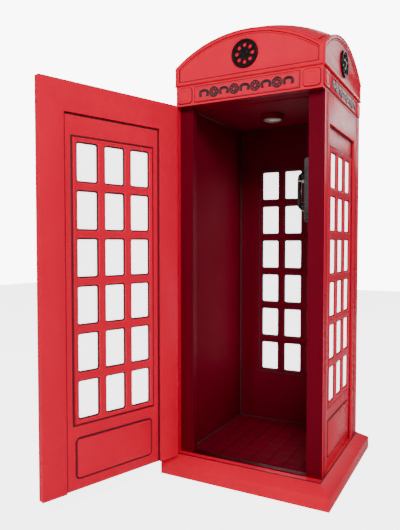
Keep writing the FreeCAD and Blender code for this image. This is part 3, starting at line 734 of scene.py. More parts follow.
for side in WALLS:
    wall = framed_wall(WALL_HALF, BASE_TOP, WALL_TOP, WALL_INNER, [(RECESS_OUT - 0.001, BODY_HALF, 1)])
    finish_piece(f"wall_{side}", wall, wall_enamel, "red_paint", f"lower_panel_{side}",
                 f"stiles_{side}", f"upper_panel_{side}", side=side)
leaf = framed_wall(DOOR_HALF, DOOR_LOW, DOOR_TOP, DOOR_WEB_IN,
                   [(RECESS_OUT - 0.001, BODY_HALF, 1), (WALL_INNER, DOOR_WEB_IN + 0.001, -1)])
finish_piece("door_leaf", leaf, red_enamel, "red_paint", "door_stile_hinge", "door_stile_latch",
             "door_top_rail", "door_bottom_panel", side="door")

# %% [markdown]
# ## Black seals
# Black rubber and mastic lie wherever two castings meet: in the corner of each border, round each window
# frame, round the raised field, and along the corners of the cabin.  They are swept along the same
# outlines as the castings, and they draw every joint as a clear dark line.

# %% Seals
SEAL = 0.0095


def seal(path, face, sign=1, closed=True):
    """A half-round black strip on a face, standing towards the side given by the sign."""
    profile = [(aside, face + sign * (out - face)) for aside, out in half_round(SEAL, face, 0.004)]
    return moulding(path, profile, closed)


def wall_seals(face, base, sign):
    """Seals in the border's corner, round the window frame and round the raised field."""
    inner, top = BAND_INNER - SEAL / 2.0, RECESS_TOP - SEAL / 2.0
    border = [(-inner, base + 0.002), (-inner, top), (inner, top), (inner, base + 0.002)]
    gap = SEAL / 2.0
    return combine(seal(border, face, sign, closed=False),
                   seal(inset(FIELD_BOX, -gap, FIELD_CORNER + gap), face, sign),
                   seal(inset(SASH_BOX, -gap), face, sign))


def joint(path, face, closed=True):
    """A narrow mastic line in the joint between two castings."""
    return bead(path, 0.005, face - 0.0006, 0.0022, closed)


post_joints = [joint([(across, BASE_TOP + 0.002), (across, WALL_TOP - 0.002)], BODY_HALF, closed=False)
               for across in (-WALL_HALF, WALL_HALF)]
outside = combine(wall_seals(RECESS_OUT, BASE_TOP, 1), *post_joints)
inside_frame = seal(inset(SASH_BOX, SEAL / 2.0), SASH_IN, -1)
for side in WALLS:
    finish_piece(f"seals_{side}", combine(outside, inside_frame), putty_black, "black_plastic", side=side)
door_seals = combine(wall_seals(RECESS_OUT, DOOR_LOW, 1), wall_seals(DOOR_WEB_IN, DOOR_LOW, -1))
finish_piece("seals_door", door_seals, putty_black, "black_plastic", side="door")


def tube(points, radii, name):
    """A round bar along a path, its radius changing from point to point."""
    path = bpy.data.curves.new(name, "CURVE")
    path.dimensions = "3D"
    path.bevel_depth = 1.0
    path.bevel_resolution = 6
    path.use_fill_caps = True
    spline = path.splines.new("POLY")
    spline.points.add(len(points) - 1)
    for spot, point, radius in zip(spline.points, points, radii):
        spot.co = (*point, 1.0)
        spot.radius = radius
    holder = bpy.data.objects.new(name, path)
    mesh = bpy.data.meshes.new_from_object(holder)
    bpy.data.objects.remove(holder)
    return mesh


CABIN_LEFT, CABIN_RIGHT, CABIN_BACK = high("lining_left", 0), WALL_INNER, WALL_INNER
CABIN_FRONT, FLOOR_TOP, CEILING = -WALL_HALF, high("floor_slab", 2), low("ceiling_panel", 2)
left_front, left_back = (CABIN_LEFT, CABIN_FRONT), (CABIN_LEFT, CABIN_BACK)
right_front, right_back = (CABIN_RIGHT, CABIN_FRONT), (CABIN_RIGHT, CABIN_BACK)
corner_lines = [((*spot, FLOOR_TOP), (*spot, CEILING)) for spot in (left_back, right_back)]
for height in (FLOOR_TOP, CEILING):
    corner_lines += [((*start, height), (*finish, height)) for start, finish in
                     ((left_front, left_back), (left_back, right_back), (right_back, right_front))]
corner_seals = [tube(line, (0.0055, 0.0055), "corner") for line in corner_lines]
finish_piece("cabin_corner_seals", sharpen(combine(*corner_seals)), putty_black, "black_plastic")

# %% [markdown]
# ## Geometry trees for repeated things
# Panes, gaskets and screws repeat many times, so each is made once and placed by a small geometry
# tree.  The tree is run a single time and only its plain mesh is kept.

# %% Running a geometry tree
def grow(name, source, build, **values):
    """Run a geometry tree on a mesh and return the plain mesh it makes."""
    tree = bpy.data.node_groups.new(name, "GeometryNodeTree")
    kinds = {float: "NodeSocketFloat", int: "NodeSocketInt", bpy.types.Object: "NodeSocketObject",
             bpy.types.Material: "NodeSocketMaterial"}
    tree.interface.new_socket("Geometry", in_out="INPUT", socket_type="NodeSocketGeometry")
    keys = {}
    for label, value in values.items():
        socket = tree.interface.new_socket(label, in_out="INPUT", socket_type=kinds[type(value)])
        keys[label] = socket.identifier
    tree.interface.new_socket("Geometry", in_out="OUTPUT", socket_type="NodeSocketGeometry")
    entry = tree.nodes.new("NodeGroupInput")
    given = {label: Sum(tree, entry.outputs[label]) for label in ("Geometry", *values)}
    made = build(tree, given)
    real = add_node(tree, "GeometryNodeRealizeInstances", None, {"Geometry": made})
    if "paint" in values:
        real = add_node(tree, "GeometryNodeSetMaterial", None,
                        {"Geometry": real, "Material": given["paint"]})
    tree.links.new(real.socket, tree.nodes.new("NodeGroupOutput").inputs["Geometry"])
    holder = bpy.data.objects.new(name, source)
    bpy.context.collection.objects.link(holder)
    modifier = holder.modifiers.new(name, "NODES")
    modifier.node_group = tree
    for label, key in keys.items():
        modifier[key] = values[label]
    ready = holder.evaluated_get(bpy.context.evaluated_depsgraph_get())
    mesh = bpy.data.meshes.new_from_object(ready)
    holder.modifiers.remove(modifier)
    bpy.data.objects.remove(holder)
    return mesh


def join_geometry(tree, *parts):
    """Several geometries as one."""
    return add_node(tree, "GeometryNodeJoinGeometry", None, {"Geometry": list(parts)})


def marks(places):
    """A mesh of loose points."""
    mesh = bpy.data.meshes.new("marks")
    mesh.from_pydata(places, [], [])
    return mesh


# %% [markdown]
# ## Window frames
# Each frame is one casting with eighteen rounded lights, fixed from inside by a row of screws.  The glass
# is eighteen separate panes; round each pane on both faces runs a thin black gasket that shows as a dark
# outline.  A quadrilateral curve with filleted corners gives pane and gasket the same outline.

# %% Frames, panes and gaskets
LIGHT_CORNER = 0.017
GASKET = 0.0050
LIGHT_MIDDLE = (SASH_LOW + SASH_HIGH) / 2.0


def light_centres():
    """Middles of the lights of a window frame."""
    step_x, step_z = PANE_WIDE + BAR, PANE_TALL + BAR
    return [((column - (COLUMNS - 1) / 2.0) * step_x, LIGHT_MIDDLE + (row - (ROWS - 1) / 2.0) * step_z)
            for column in range(COLUMNS) for row in range(ROWS)]


def light_outline(tree, grow_by):
    """Rounded outline of one light, wider all round by an amount."""
    box = add_node(tree, "GeometryNodeCurvePrimitiveQuadrilateral", None,
                   {"Width": PANE_WIDE + 2.0 * grow_by, "Height": PANE_TALL + 2.0 * grow_by})
    return add_node(tree, "GeometryNodeFilletCurve", {"mode": "POLY"},
                    {"Curve": box, "Radius": LIGHT_CORNER + grow_by, "Count": 5, "Limit Radius": True})


def build_panes(tree, given):
    """A sheet of glass at every mark."""
    face = add_node(tree, "GeometryNodeFillCurve", {"mode": "NGONS"},
                    {"Curve": light_outline(tree, 0.0015)})
    lifted = add_node(tree, "GeometryNodeExtrudeMesh", None,
                      {"Mesh": face, "Offset Scale": given["thick"], "Individual": False})
    back = add_node(tree, "GeometryNodeFlipFaces", None, {"Mesh": face})
    sheet = add_node(tree, "GeometryNodeMergeByDistance", None,
                     {"Geometry": join_geometry(tree, lifted, back), "Distance": 0.00005})
    return add_node(tree, "GeometryNodeInstanceOnPoints", None,
                    {"Points": given["Geometry"], "Instance": sheet})


def build_gaskets(tree, given):
    """A thin black ring at every mark."""
    wire = add_node(tree, "GeometryNodeCurvePrimitiveCircle", None,
                    {"Resolution": 8, "Radius": given["wire"]})
    loop = add_node(tree, "GeometryNodeCurveToMesh", None,
                    {"Curve": light_outline(tree, -0.0035), "Profile Curve": wire})
    return add_node(tree, "GeometryNodeInstanceOnPoints", None,
                    {"Points": given["Geometry"], "Instance": loop})


centres = light_centres()
frame_loops = [rectangle(*SASH_BOX)]
for across, up in centres:
    frame_loops.append(rectangle(across - PANE_WIDE / 2.0, up - PANE_TALL / 2.0,
                                 across + PANE_WIDE / 2.0, up + PANE_TALL / 2.0, LIGHT_CORNER))
casting = plate(frame_loops, SASH_IN, SASH_OUT, 0.0035, 3)
rim = half_round(0.008, SASH_OUT - 0.0005, 0.004)
rim_path = inset(SASH_BOX, 0.006)
inner_rim = [(side, SASH_IN - (out - SASH_OUT)) for side, out in rim]
casting = combine(casting, moulding(rim_path, rim), moulding(rim_path, inner_rim))
glass = grow("panes", marks([(across, up, GLASS_IN) for across, up in centres]), build_panes,
             thick=GLASS_OUT - GLASS_IN, paint=pane_glass)
gaskets = grow("gaskets", marks([(across, up, out) for across, up in centres
                                 for out in (GLASS_IN - 0.0002, GLASS_OUT + 0.0002)]), build_gaskets,
               wire=GASKET, paint=putty_black)
for side in (*WALLS, "door"):
    sash_node, pane_node, paint = (("door_sash", "door_panes", red_enamel) if side == "door"
                                   else (f"sash_{side}", f"panes_{side}", window_enamel))
    finish_piece(f"window_frame_{side}", casting, paint, "red_paint", sash_node, side=side)
    finish_piece(f"glass_{side}", glass, pane_glass, "milk_glass", pane_node, side=side)
    finish_piece(f"gaskets_{side}", gaskets, putty_black, "black_plastic", side=side)

# %% [markdown]
# ## Screws
# Slotted countersunk screws hold the frames, the hinges, the boards and the telephone.  One head is
# turned, its slot is cut by two raised half-heads with a gap between them, and a geometry tree sets the
# heads at their marks, each turned by its own amount as a real fitter leaves them.

# %% Screw heads
def screw_head(radius):
    """A low domed head with a driver slot, facing out along the drawing's third axis."""
    slot = radius * 0.17
    parts = []
    for sign in (1.0, -1.0):
        loop = []
        for step in range(13):
            angle = math.pi * step / 12.0
            loop.append((radius * 0.93 * math.cos(angle),
                         sign * max(slot, radius * 0.93 * math.sin(angle))))
        parts.append(plate([loop], 0.0, radius * 0.42, radius * 0.09, 2))
    base = turned_shape([(0.0, -radius * 0.2), (radius, -radius * 0.2), (radius, radius * 0.12),
                         (radius * 0.9, radius * 0.2), (0.0, radius * 0.2)], 20)
    return combine(base, *parts)


def build_screws(tree, given):
    """A head at every mark, each with its own turn."""
    item = add_node(tree, "GeometryNodeObjectInfo", None, {"Object": given["head"]}, output=4)
    turn = tree.nodes.new("FunctionNodeRandomValue")
    turn.data_type = "FLOAT"
    turn.inputs[2].default_value = 0.0
    turn.inputs[3].default_value = math.pi
    tree.links.new(given["seed"].socket, turn.inputs["Seed"])
    spin = add_node(tree, "ShaderNodeCombineXYZ", None, {"Z": Sum(tree, turn.outputs[1])})
    return add_node(tree, "GeometryNodeInstanceOnPoints", None,
                    {"Points": given["Geometry"], "Instance": item, "Rotation": spin})


def screws(places, radius, paint, seed):
    """Screw heads at (across, up, out) marks, as one mesh that faces out."""
    head = bpy.data.objects.new("head", screw_head(radius))
    bpy.context.collection.objects.link(head)
    mesh = grow("screws", marks(places), build_screws, head=head, seed=seed, paint=paint)
    bpy.data.objects.remove(head)
    return mesh


FLIP = Matrix.Rotation(math.pi, 4, "Y")


def facing_in(mesh):
    """The same drawing seen from inside: turned about the upright so that it faces the cabin."""
    return moved(mesh, FLIP)


SCREW_FROM_SIDE, SCREW_FROM_END = 0.0105, 0.0125


def frame_screw_places(out):
    """Marks round a window frame, between its lights."""
    edge = SASH_HALF - SCREW_FROM_SIDE
    step = PANE_TALL + BAR
    rows = [LIGHT_MIDDLE + (row - ROWS / 2.0) * step for row in range(ROWS + 1)]
    rows[0], rows[-1] = SASH_LOW + SCREW_FROM_END, SASH_HIGH - SCREW_FROM_END
    places = [(sign * edge, up, out) for sign in (-1, 1) for up in rows]
    tops = (PANE_WIDE + BAR) / 2.0
    return places + [(sign * tops, up, out) for sign in (-1, 1) for up in (rows[0], rows[-1])]


inner_screws = facing_in(screws(frame_screw_places(-SASH_IN), 0.0042, maroon_enamel, 3))
outer_screws = screws(frame_screw_places(SASH_OUT), 0.0042, red_enamel, 5)
for side in ("right", "back", "door"):
    paint = red_enamel if side == "door" else maroon_enamel
    finish_piece(f"frame_screws_{side}", inner_screws, paint, "red_paint", side=side)
finish_piece("frame_screws_outside_door", outer_screws, red_enamel, "red_paint", side="door")

# %% [markdown]
# ## Fascia, end blocks and signs
# Above each wall runs a fascia with a sunk sign panel.  Each sign has a raised frame and a row of black
# pictograms, a handset and a dial in turn, which say "telephone" in any language without a word.

# %% Fascias and end blocks
FASCIA_TOP = high("fascia_right", 2)
SIGN_HALF = high("sign_front", 0)
SIGN_LOW, SIGN_HIGH = low("sign_front", 2), high("sign_front", 2)
SIGN_BOX = (-SIGN_HALF, SIGN_LOW, SIGN_HALF, SIGN_HIGH)
SIGN_FACE = -low("sign_front", 1)
BLOCK_FACE = -low("fascia_blocks", 1)
BLOCK_IN, BLOCK_OUT = 0.352, 0.448
SHOULDER_TOP = 2.541
CROWN_TOP = high("pediment_front", 2)

for side in SIDES:
    finish_piece(f"fascia_casting_{side}", sharpen(cast_copy(f"fascia_{side}", 0.003, 2)),
                 fascia_enamel, "red_paint", f"fascia_{side}")
BLOCK_BOXES = ((-BLOCK_OUT, SIGN_LOW, -BLOCK_IN, SIGN_HIGH), (BLOCK_IN, SIGN_LOW, BLOCK_OUT, SIGN_HIGH))
block_pair = combine(*(combine(plate([rectangle(*box, 0.020)], BODY_HALF - 0.002, BLOCK_FACE, 0.003, 3),
                               bead(inset(box, 0.016, 0.012), 0.005, BLOCK_FACE - 0.0004, 0.0028))
                       for box in BLOCK_BOXES))
finish_piece("end_blocks", all_round(block_pair), red_enamel, "red_paint", "fascia_blocks")

# %% Joints round the signs, blocks and base
JOINT_OUT = 0.0015
head_joints = [joint(inset(SIGN_BOX, -JOINT_OUT, 0.004), BODY_HALF)]
head_joints += [joint(inset(box, -JOINT_OUT, 0.021), BODY_HALF) for box in BLOCK_BOXES]
finish_piece("sign_joints", all_round(combine(*head_joints)), putty_black, "black_plastic")
BODY_BOX = (-BODY_HALF, -BODY_HALF, BODY_HALF, BODY_HALF)
foot = bead(inset(BODY_BOX, -0.003), 0.008, BASE_TOP - 0.001, 0.0042)
finish_piece("foot_seal", foot, putty_black, "black_plastic")

# %% [markdown]
# The pictograms are cut from flat outlines like the castings.  The handset is a thick arc with a cap at
# each end; the dial is a ring of round holes.

# %% Signs
MARKS_ON_SIGN = 9
MARK_TALL = 0.062
SIGN_MARGIN = 0.030


def handset_mark():
    """Outline of a handset lying level, bowed upwards, with a deep cap at each end."""
    outer, inner, spread, shift = 0.044, 0.029, math.radians(44.0), 0.020
    turns = [spread * step / 6.0 for step in range(6, -7, -1)]
    back = [(-outer * math.sin(turn), outer * math.cos(turn) - shift) for turn in turns]
    belly = [(-inner * math.sin(turn), inner * math.cos(turn) - shift) for turn in reversed(turns)]
    end, heel = back[-1], belly[0]
    right_cap = [(end[0] + 0.003, end[1] - 0.010), (end[0] + 0.001, end[1] - 0.030),
                 (heel[0] - 0.006, heel[1] - 0.020)]
    left_cap = [(-across, up) for across, up in reversed(right_cap)]
    return [back + right_cap + belly[1:-1] + left_cap]


def dial_mark():
    """Outline of a dial: a disc with a hub hole and seven finger holes."""
    holes = [ring(0.0042, 10, place) for place in ring(0.0195, 7)]
    return [ring(MARK_TALL / 2.0, 40), ring(0.0075, 16)] + holes


pictures = []
pitch = 2.0 * (SIGN_HALF - SIGN_MARGIN) / MARKS_ON_SIGN
for index in range(MARKS_ON_SIGN):
    loops = dial_mark() if index % 2 else handset_mark()
    across = (index - (MARKS_ON_SIGN - 1) / 2.0) * pitch
    pictures.append(moved(plate(loops, -0.001, 0.003, 0.0008, 2),
                          at(across, (SIGN_LOW + SIGN_HIGH) / 2.0, SIGN_FACE)))
pictures = combine(*pictures)
sign_board = combine(plate([rectangle(*SIGN_BOX, 0.004)], BODY_HALF - 0.004, SIGN_FACE, 0.0015),
                     bead(inset(SIGN_BOX, 0.006), 0.007, SIGN_FACE - 0.0005, 0.0045))
for side in SIDES:
    finish_piece(f"sign_board_{side}", sign_board, sign_enamel, "sign_panel", f"sign_{side}", side=side)
    finish_piece(f"pictograms_{side}", pictures, sign_black, "black_plastic", side=side)

# %% [markdown]
# ## Pediments
# Each side ends in a flat-arched pediment with a raised rim.  The plate comes from the frame with its
# edges softened; two half-round beads follow the arch, which is where a moulder would run his strickle.

# %% Pediments with beaded arches
SAG = CROWN_TOP - SHOULDER_TOP
ARCH_RADIUS = (BODY_HALF ** 2 + SAG ** 2) / (2.0 * SAG)
ARCH_MIDDLE = CROWN_TOP - ARCH_RADIUS
RIM_FACE = -low("pediment_front", 1)


def arch_path(inside, steps=48):
    """Points along the pediment's arch, inside its edge, stopping short of the mitres."""
    radius = ARCH_RADIUS - inside
    half_angle = math.asin((BODY_HALF - inside) / radius)
    turns = (half_angle * (2.0 * step / steps - 1.0) for step in range(steps + 1))
    return [(radius * math.sin(turn), ARCH_MIDDLE + radius * math.cos(turn)) for turn in turns]


base_line = [(sign * (BODY_HALF - 0.002), FASCIA_TOP + 0.006) for sign in (-1, 1)]
crest_beads = combine(bead(arch_path(0.0055), 0.009, RIM_FACE - 0.0005, 0.005, closed=False),
                      bead(arch_path(0.0290), 0.010, BODY_HALF - 0.0005, 0.006, closed=False),
                      bead(base_line, 0.010, RIM_FACE - 0.0005, 0.005, closed=False))
SUNK_HALF, SUNK_LOW, SUNK_SHOULDER, SUNK_CROWN = 0.441, 2.450, 2.530, 2.678
sunk_sag = SUNK_CROWN - SUNK_SHOULDER
sunk_radius = (SUNK_HALF ** 2 + sunk_sag ** 2) / (2.0 * sunk_sag)
sunk_turn = math.asin((SUNK_HALF - 0.003) / sunk_radius)
sunk_path = [(sunk_radius * math.sin(turn), SUNK_CROWN - sunk_radius * (1.0 - math.cos(turn)) - 0.003)
             for turn in (sunk_turn * (1.0 - 2.0 * step / 40) for step in range(41))]
sunk_path += [(-SUNK_HALF + 0.003, SUNK_LOW + 0.003), (SUNK_HALF - 0.003, SUNK_LOW + 0.003)]
rim_seal = bead(sunk_path, 0.006, BODY_HALF - 0.0005, 0.003)
finish_piece("pediment_seals", all_round(rim_seal), putty_black, "black_plastic")
for side in SIDES:
    crest = combine(cast_copy(f"pediment_{side}", 0.002, 2), moved(crest_beads, PLACE[side]))
    finish_piece(f"arched_pediment_{side}", sharpen(crest), fascia_enamel, "red_paint",
                 f"pediment_{side}")

# %% [markdown]
# ## Vent rosettes
# A round pierced grille on each pediment lets warm air out.  Eight round petals are pierced through a
# disc with a beaded edge and a boss; one petal's rib is repeated round the middle by a geometry tree.

# %% Rosettes
ROSETTE_UP, ROSETTE_RADIUS, ROSETTE_OUT = 2.560, 0.082, BODY_HALF + 0.008
PETALS = 8


def build_ribs(tree, given):
    """The same small rib at every turn of a circle of marks."""
    circle = add_node(tree, "GeometryNodeMeshCircle", None,
                      {"Vertices": given["count"], "Radius": given["radius"]})
    turn = add_node(tree, "ShaderNodeMath", {"operation": "MULTIPLY"},
                    {0: add_node(tree, "GeometryNodeInputIndex"), 1: 2.0 * math.pi / PETALS})
    spin = add_node(tree, "ShaderNodeCombineXYZ", None, {"Z": turn})
    return add_node(tree, "GeometryNodeInstanceOnPoints", None,
                    {"Points": circle, "Instance": given["Geometry"], "Rotation": spin})


def petal_loop(turn):
    """Outline of one pierced petal, wider towards the rim."""
    middle, long_half, wide_half = 0.58 * ROSETTE_RADIUS, 0.165 * ROSETTE_RADIUS, 0.150 * ROSETTE_RADIUS
    points = []
    for along, aside in ring(1.0, 20):
        reach = middle + long_half * along
        side = wide_half * aside * (1.0 + 0.25 * along)
        points.append((reach * math.cos(turn) - side * math.sin(turn),
                       reach * math.sin(turn) + side * math.cos(turn)))
    return points


disc = plate([ring(ROSETTE_RADIUS, 72)] + [petal_loop(2.0 * math.pi * petal / PETALS)
                                           for petal in range(PETALS)],
             BODY_HALF - 0.001, ROSETTE_OUT, 0.0018)
rib = bead([(-0.014, 0.0), (0.014, 0.0)], 0.0045, ROSETTE_OUT - 0.0005, 0.003, closed=False)
ribs = grow("ribs", rib, build_ribs, count=PETALS, radius=0.60 * ROSETTE_RADIUS, paint=red_enamel)
ribs.transform(Matrix.Rotation(math.pi / PETALS, 4, "Z"))
edge_bead = bead(ring(ROSETTE_RADIUS - 0.007, 72), 0.009, ROSETTE_OUT - 0.0005, 0.0045)
boss = turned_shape([(0.0, -0.001), (0.021, -0.001), (0.020, 0.003), (0.016, 0.005), (0.012, 0.0055),
                     (0.006, 0.0075), (0.0, 0.008)], base=ROSETTE_OUT)
grille = moved(combine(disc, ribs, edge_bead, boss), at(0.0, ROSETTE_UP))
finish_piece("pierced_rosettes", all_round(grille), black_enamel, "red_paint", "vent_rosettes")

# %% [markdown]
# ## Dome
# The roof is a sail dome: one sphere cut by the square inside the four pediments.  That is exactly what
# a formula can say, so a geometry tree lifts a flat grid on to the sphere and gives it its thickness.

# %% Dome
DOME_TOP = high("roof_dome", 2)
DOME_RADIUS = DOME_TOP - ARCH_MIDDLE
DOME_THICK = 0.012


def build_dome(tree, given):
    """A grid lifted on to a sphere, thickened inwards."""
    grid = add_node(tree, "GeometryNodeMeshGrid", None,
                    {"Size X": given["width"], "Size Y": given["width"],
                     "Vertices X": given["count"], "Vertices Y": given["count"]})
    spot = tree.nodes.new("ShaderNodeSeparateXYZ")
    tree.links.new(tree.nodes.new("GeometryNodeInputPosition").outputs[0], spot.inputs[0])
    x, y = Sum(tree, spot.outputs[0]), Sum(tree, spot.outputs[1])
    radius = given["radius"]
    height = (radius * radius - x * x - y * y).math("SQRT") + ARCH_MIDDLE
    place = add_node(tree, "ShaderNodeCombineXYZ", None, {"X": x, "Y": y, "Z": height})
    lifted = add_node(tree, "GeometryNodeSetPosition", None, {"Geometry": grid, "Position": place})
    smooth = add_node(tree, "GeometryNodeSetShadeSmooth", None, {"Geometry": lifted})
    skin = add_node(tree, "GeometryNodeExtrudeMesh", None,
                    {"Mesh": smooth, "Offset Scale": given["thick"], "Individual": False})
    under = add_node(tree, "GeometryNodeFlipFaces", None, {"Mesh": smooth})
    return add_node(tree, "GeometryNodeMergeByDistance", None,
                    {"Geometry": join_geometry(tree, skin, under), "Distance": 0.0001})


dome = grow("dome", marks([(0.0, 0.0, 0.0)]), build_dome, width=2.0 * WALL_INNER, count=49,
            radius=DOME_RADIUS - DOME_THICK, thick=DOME_THICK, paint=red_enamel)
dome_enamel = enamel("dome_enamel", (WALL_INNER, WALL_INNER, FASCIA_TOP))
finish_piece("sail_dome", sharpen(dome, 40.0), dome_enamel, "red_paint", "roof_dome")

# %% [markdown]
# ## Floor, threshold, ceiling and lamp
# The floor slab keeps its access holes over the anchors and the cable, and its face is laid with quarry
# tiles.  The threshold is a dark, rubbed tread plate with ribs that give a foot some grip.

# %% Floor and threshold
finish_piece("tiled_floor", cast_copy("floor_slab", 0.0015, 2), floor_tile, "floor_tile", "floor_slab")
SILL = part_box("threshold_sill")
tread = [cast_copy("threshold_sill", 0.0015, 2)]
ribs_on_sill = 5
for index in range(ribs_on_sill):
    depth = SILL[0][1] + (SILL[1][1] - SILL[0][1]) * (index + 0.5) / ribs_on_sill
    tread.append(bead([(SILL[0][0] + 0.006, depth), (SILL[1][0] - 0.006, depth)],
                      0.004, SILL[1][2] - 0.0004, 0.0016, closed=False))
finish_piece("tread_plate", sharpen(combine(*tread)), worn_steel, "bright_steel", "threshold_sill")

# %% Ceiling and lamp
CEILING_LOW = low("ceiling_panel", 2)
LENS_LOW = low("lamp_lens", 2)
HOUSING_LOW = low("lamp_housing", 2)
LENS_RADIUS = high("lamp_lens", 0)
HOUSING_RADIUS = high("lamp_housing", 0)
COVE_HALF = 0.330
ceiling_half = WALL_INNER - 0.0005
ceiling_loop = rectangle(-ceiling_half, -ceiling_half, ceiling_half, ceiling_half)
ceiling = combine(plate([ceiling_loop], CEILING_LOW, CEILING_LOW + 0.010, 0.001),
                  moulding(rectangle(-COVE_HALF, -COVE_HALF, COVE_HALF, COVE_HALF),
                           [(side, CEILING_LOW - out) for side, out in half_round(0.014, 0.0, 0.006)]))
finish_piece("ceiling_board", ceiling, maroon_enamel, "lining_paint", "ceiling_panel")
bowl = [(0.0, CEILING_LOW), (HOUSING_RADIUS - 0.002, CEILING_LOW), (HOUSING_RADIUS, CEILING_LOW - 0.003),
        (HOUSING_RADIUS, CEILING_LOW - 0.012), (HOUSING_RADIUS - 0.003, CEILING_LOW - 0.016),
        (HOUSING_RADIUS - 0.003, HOUSING_LOW + 0.006), (HOUSING_RADIUS - 0.005, HOUSING_LOW + 0.001),
        (HOUSING_RADIUS - 0.008, HOUSING_LOW), (LENS_RADIUS + 0.003, HOUSING_LOW),
        (LENS_RADIUS + 0.0005, HOUSING_LOW + 0.002), (LENS_RADIUS + 0.0005, HOUSING_LOW + 0.026),
        (0.0, HOUSING_LOW + 0.026)]
finish_piece("lamp_bowl", turned_shape(bowl, 64), maroon_enamel, "lining_paint", "lamp_housing")
lens = [(0.0, HOUSING_LOW + 0.008), (LENS_RADIUS - 0.0005, HOUSING_LOW + 0.008)]
lens_steps = 14
for step in range(lens_steps + 1):
    bend = math.pi / 2.0 * step / lens_steps
    ripple = 0.0012 if step % 2 and step < lens_steps else 0.0
    lens.append(((LENS_RADIUS - 0.0005 - ripple) * math.cos(bend) if step < lens_steps else 0.0,
                 HOUSING_LOW - (HOUSING_LOW - LENS_LOW - ripple) * math.sin(bend)))
finish_piece("lamp_globe", turned_shape(lens, 64), lamp_glass, "lamp_glass", "lamp_lens")

# %% [markdown]
# ## Lining and backboard
# A painted board covers the inner face of the left-hand wall, and the telephone hangs on a board on the
# right-hand one.  Both are screwed on, with softened edges and a cover bead.  The left wall's drawing
# serves for both, because what stands out of that wall points the same way as what faces the caller
# from the wall opposite.

# %% Boards
SCREW_IN = 0.030


def drawn(node):
    """A CAD node's box in the left wall's drawing: the four edges, then near and far."""
    lowest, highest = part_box(node)
    return (-highest[1], lowest[2], -lowest[1], highest[2]), -highest[0], -lowest[0]


LINING, lining_near, lining_far = drawn("lining_left")
lining = plate([rectangle(*LINING)], lining_near, lining_far, 0.0015)
lining_edges = (LINING[0] + SCREW_IN, (LINING[0] + LINING[2]) / 2.0, LINING[2] - SCREW_IN)
FIRST_SCREW, SCREW_PITCH, SCREWS_UP = 0.08, 0.40, 6
lining_marks = [(-across, LINING[1] + FIRST_SCREW + SCREW_PITCH * step, -lining_near)
                for across in lining_edges for step in range(SCREWS_UP)]
finish_piece("left_lining", lining, maroon_enamel, "lining_paint", "lining_left", side="left")
finish_piece("lining_screws", facing_in(screws(lining_marks, 0.0050, maroon_enamel, 7)),
             maroon_enamel, "lining_paint", side="left")

BOARD, board_near, board_face = drawn("phone_backboard")
board = combine(plate([rectangle(*BOARD, 0.012)], board_near, board_face, 0.003, 3),
                bead(inset(BOARD, 0.014), 0.006, board_face - 0.0004, 0.003))
finish_piece("telephone_board", board, maroon_enamel, "lining_paint", "phone_backboard", side="phone")
board_marks = [(across, up, board_face) for across in (BOARD[0] + SCREW_IN, BOARD[2] - SCREW_IN)
               for up in (BOARD[1] + SCREW_IN, (BOARD[1] + BOARD[3]) / 2.0, BOARD[3] - SCREW_IN)]
finish_piece("board_screws", screws(board_marks, 0.0050, bright_steel, 11), bright_steel,
             "bright_steel", side="phone")

# %% [markdown]
# ## Wall telephone
# The telephone faces the caller from the right-hand wall: a black moulded case, a faceplate with a dial,
# a coin slot, a return button and a return cup.  It is drawn flat like the walls, with `out` pointing
# into the cabin.

# %% Case and faceplate
finish_piece("telephone_case", sharpen(cast_copy("phone_case", 0.0012, 2)), black_plastic,
             "black_plastic", "phone_case")
finish_piece("telephone_faceplate", sharpen(cast_copy("phone_faceplate", 0.0006, 2)), black_plastic,
             "black_plastic", "phone_faceplate")
FACEPLATE, _, PLATE_FACE = drawn("phone_faceplate")
FACE_SCREW_IN = 0.010
face_marks = [(across, up, PLATE_FACE)
              for across in (FACEPLATE[0] + FACE_SCREW_IN, FACEPLATE[2] - FACE_SCREW_IN)
              for up in (FACEPLATE[1] + FACE_SCREW_IN, FACEPLATE[3] - FACE_SCREW_IN)]
finish_piece("faceplate_screws", screws(face_marks, 0.0042, bright_steel, 13), bright_steel,
             "bright_steel", side="phone")
COIN_SLOT = rectangle(-0.0485, 1.9095, -0.0445, 1.9405, 0.0015, 2)
CUP_MOUTH = rectangle(-0.0485, 1.6385, 0.0185, 1.7015, 0.004)
slot_frames = [bead(loop, 0.003, PLATE_FACE - 0.0004, 0.0018) for loop in (COIN_SLOT, CUP_MOUTH)]
finish_piece("slot_frames", combine(*slot_frames), bright_steel, "bright_steel", side="phone")

# %% Dial
DIAL = (-0.015, 1.820)
SURROUND_RADIUS, WHEEL_RADIUS, WHEEL_THICK = 0.047, 0.040, 0.003
FINGER_RING, FINGER_HOLE, STOP_RING = 0.028, 0.006, 0.0435
FINGER_PITCH, FIRST_FINGER, STOP_TURN = 30, -75, 240
_, ring_back, ring_face = drawn("dial_ring")
_, hub_back, wheel_face = drawn("dial_wheel")


def dial_spot(radius, degrees):
    """Across and up from the dial's middle, at an angle from the top."""
    turn = math.radians(degrees)
    return -radius * math.sin(turn), radius * math.cos(turn)


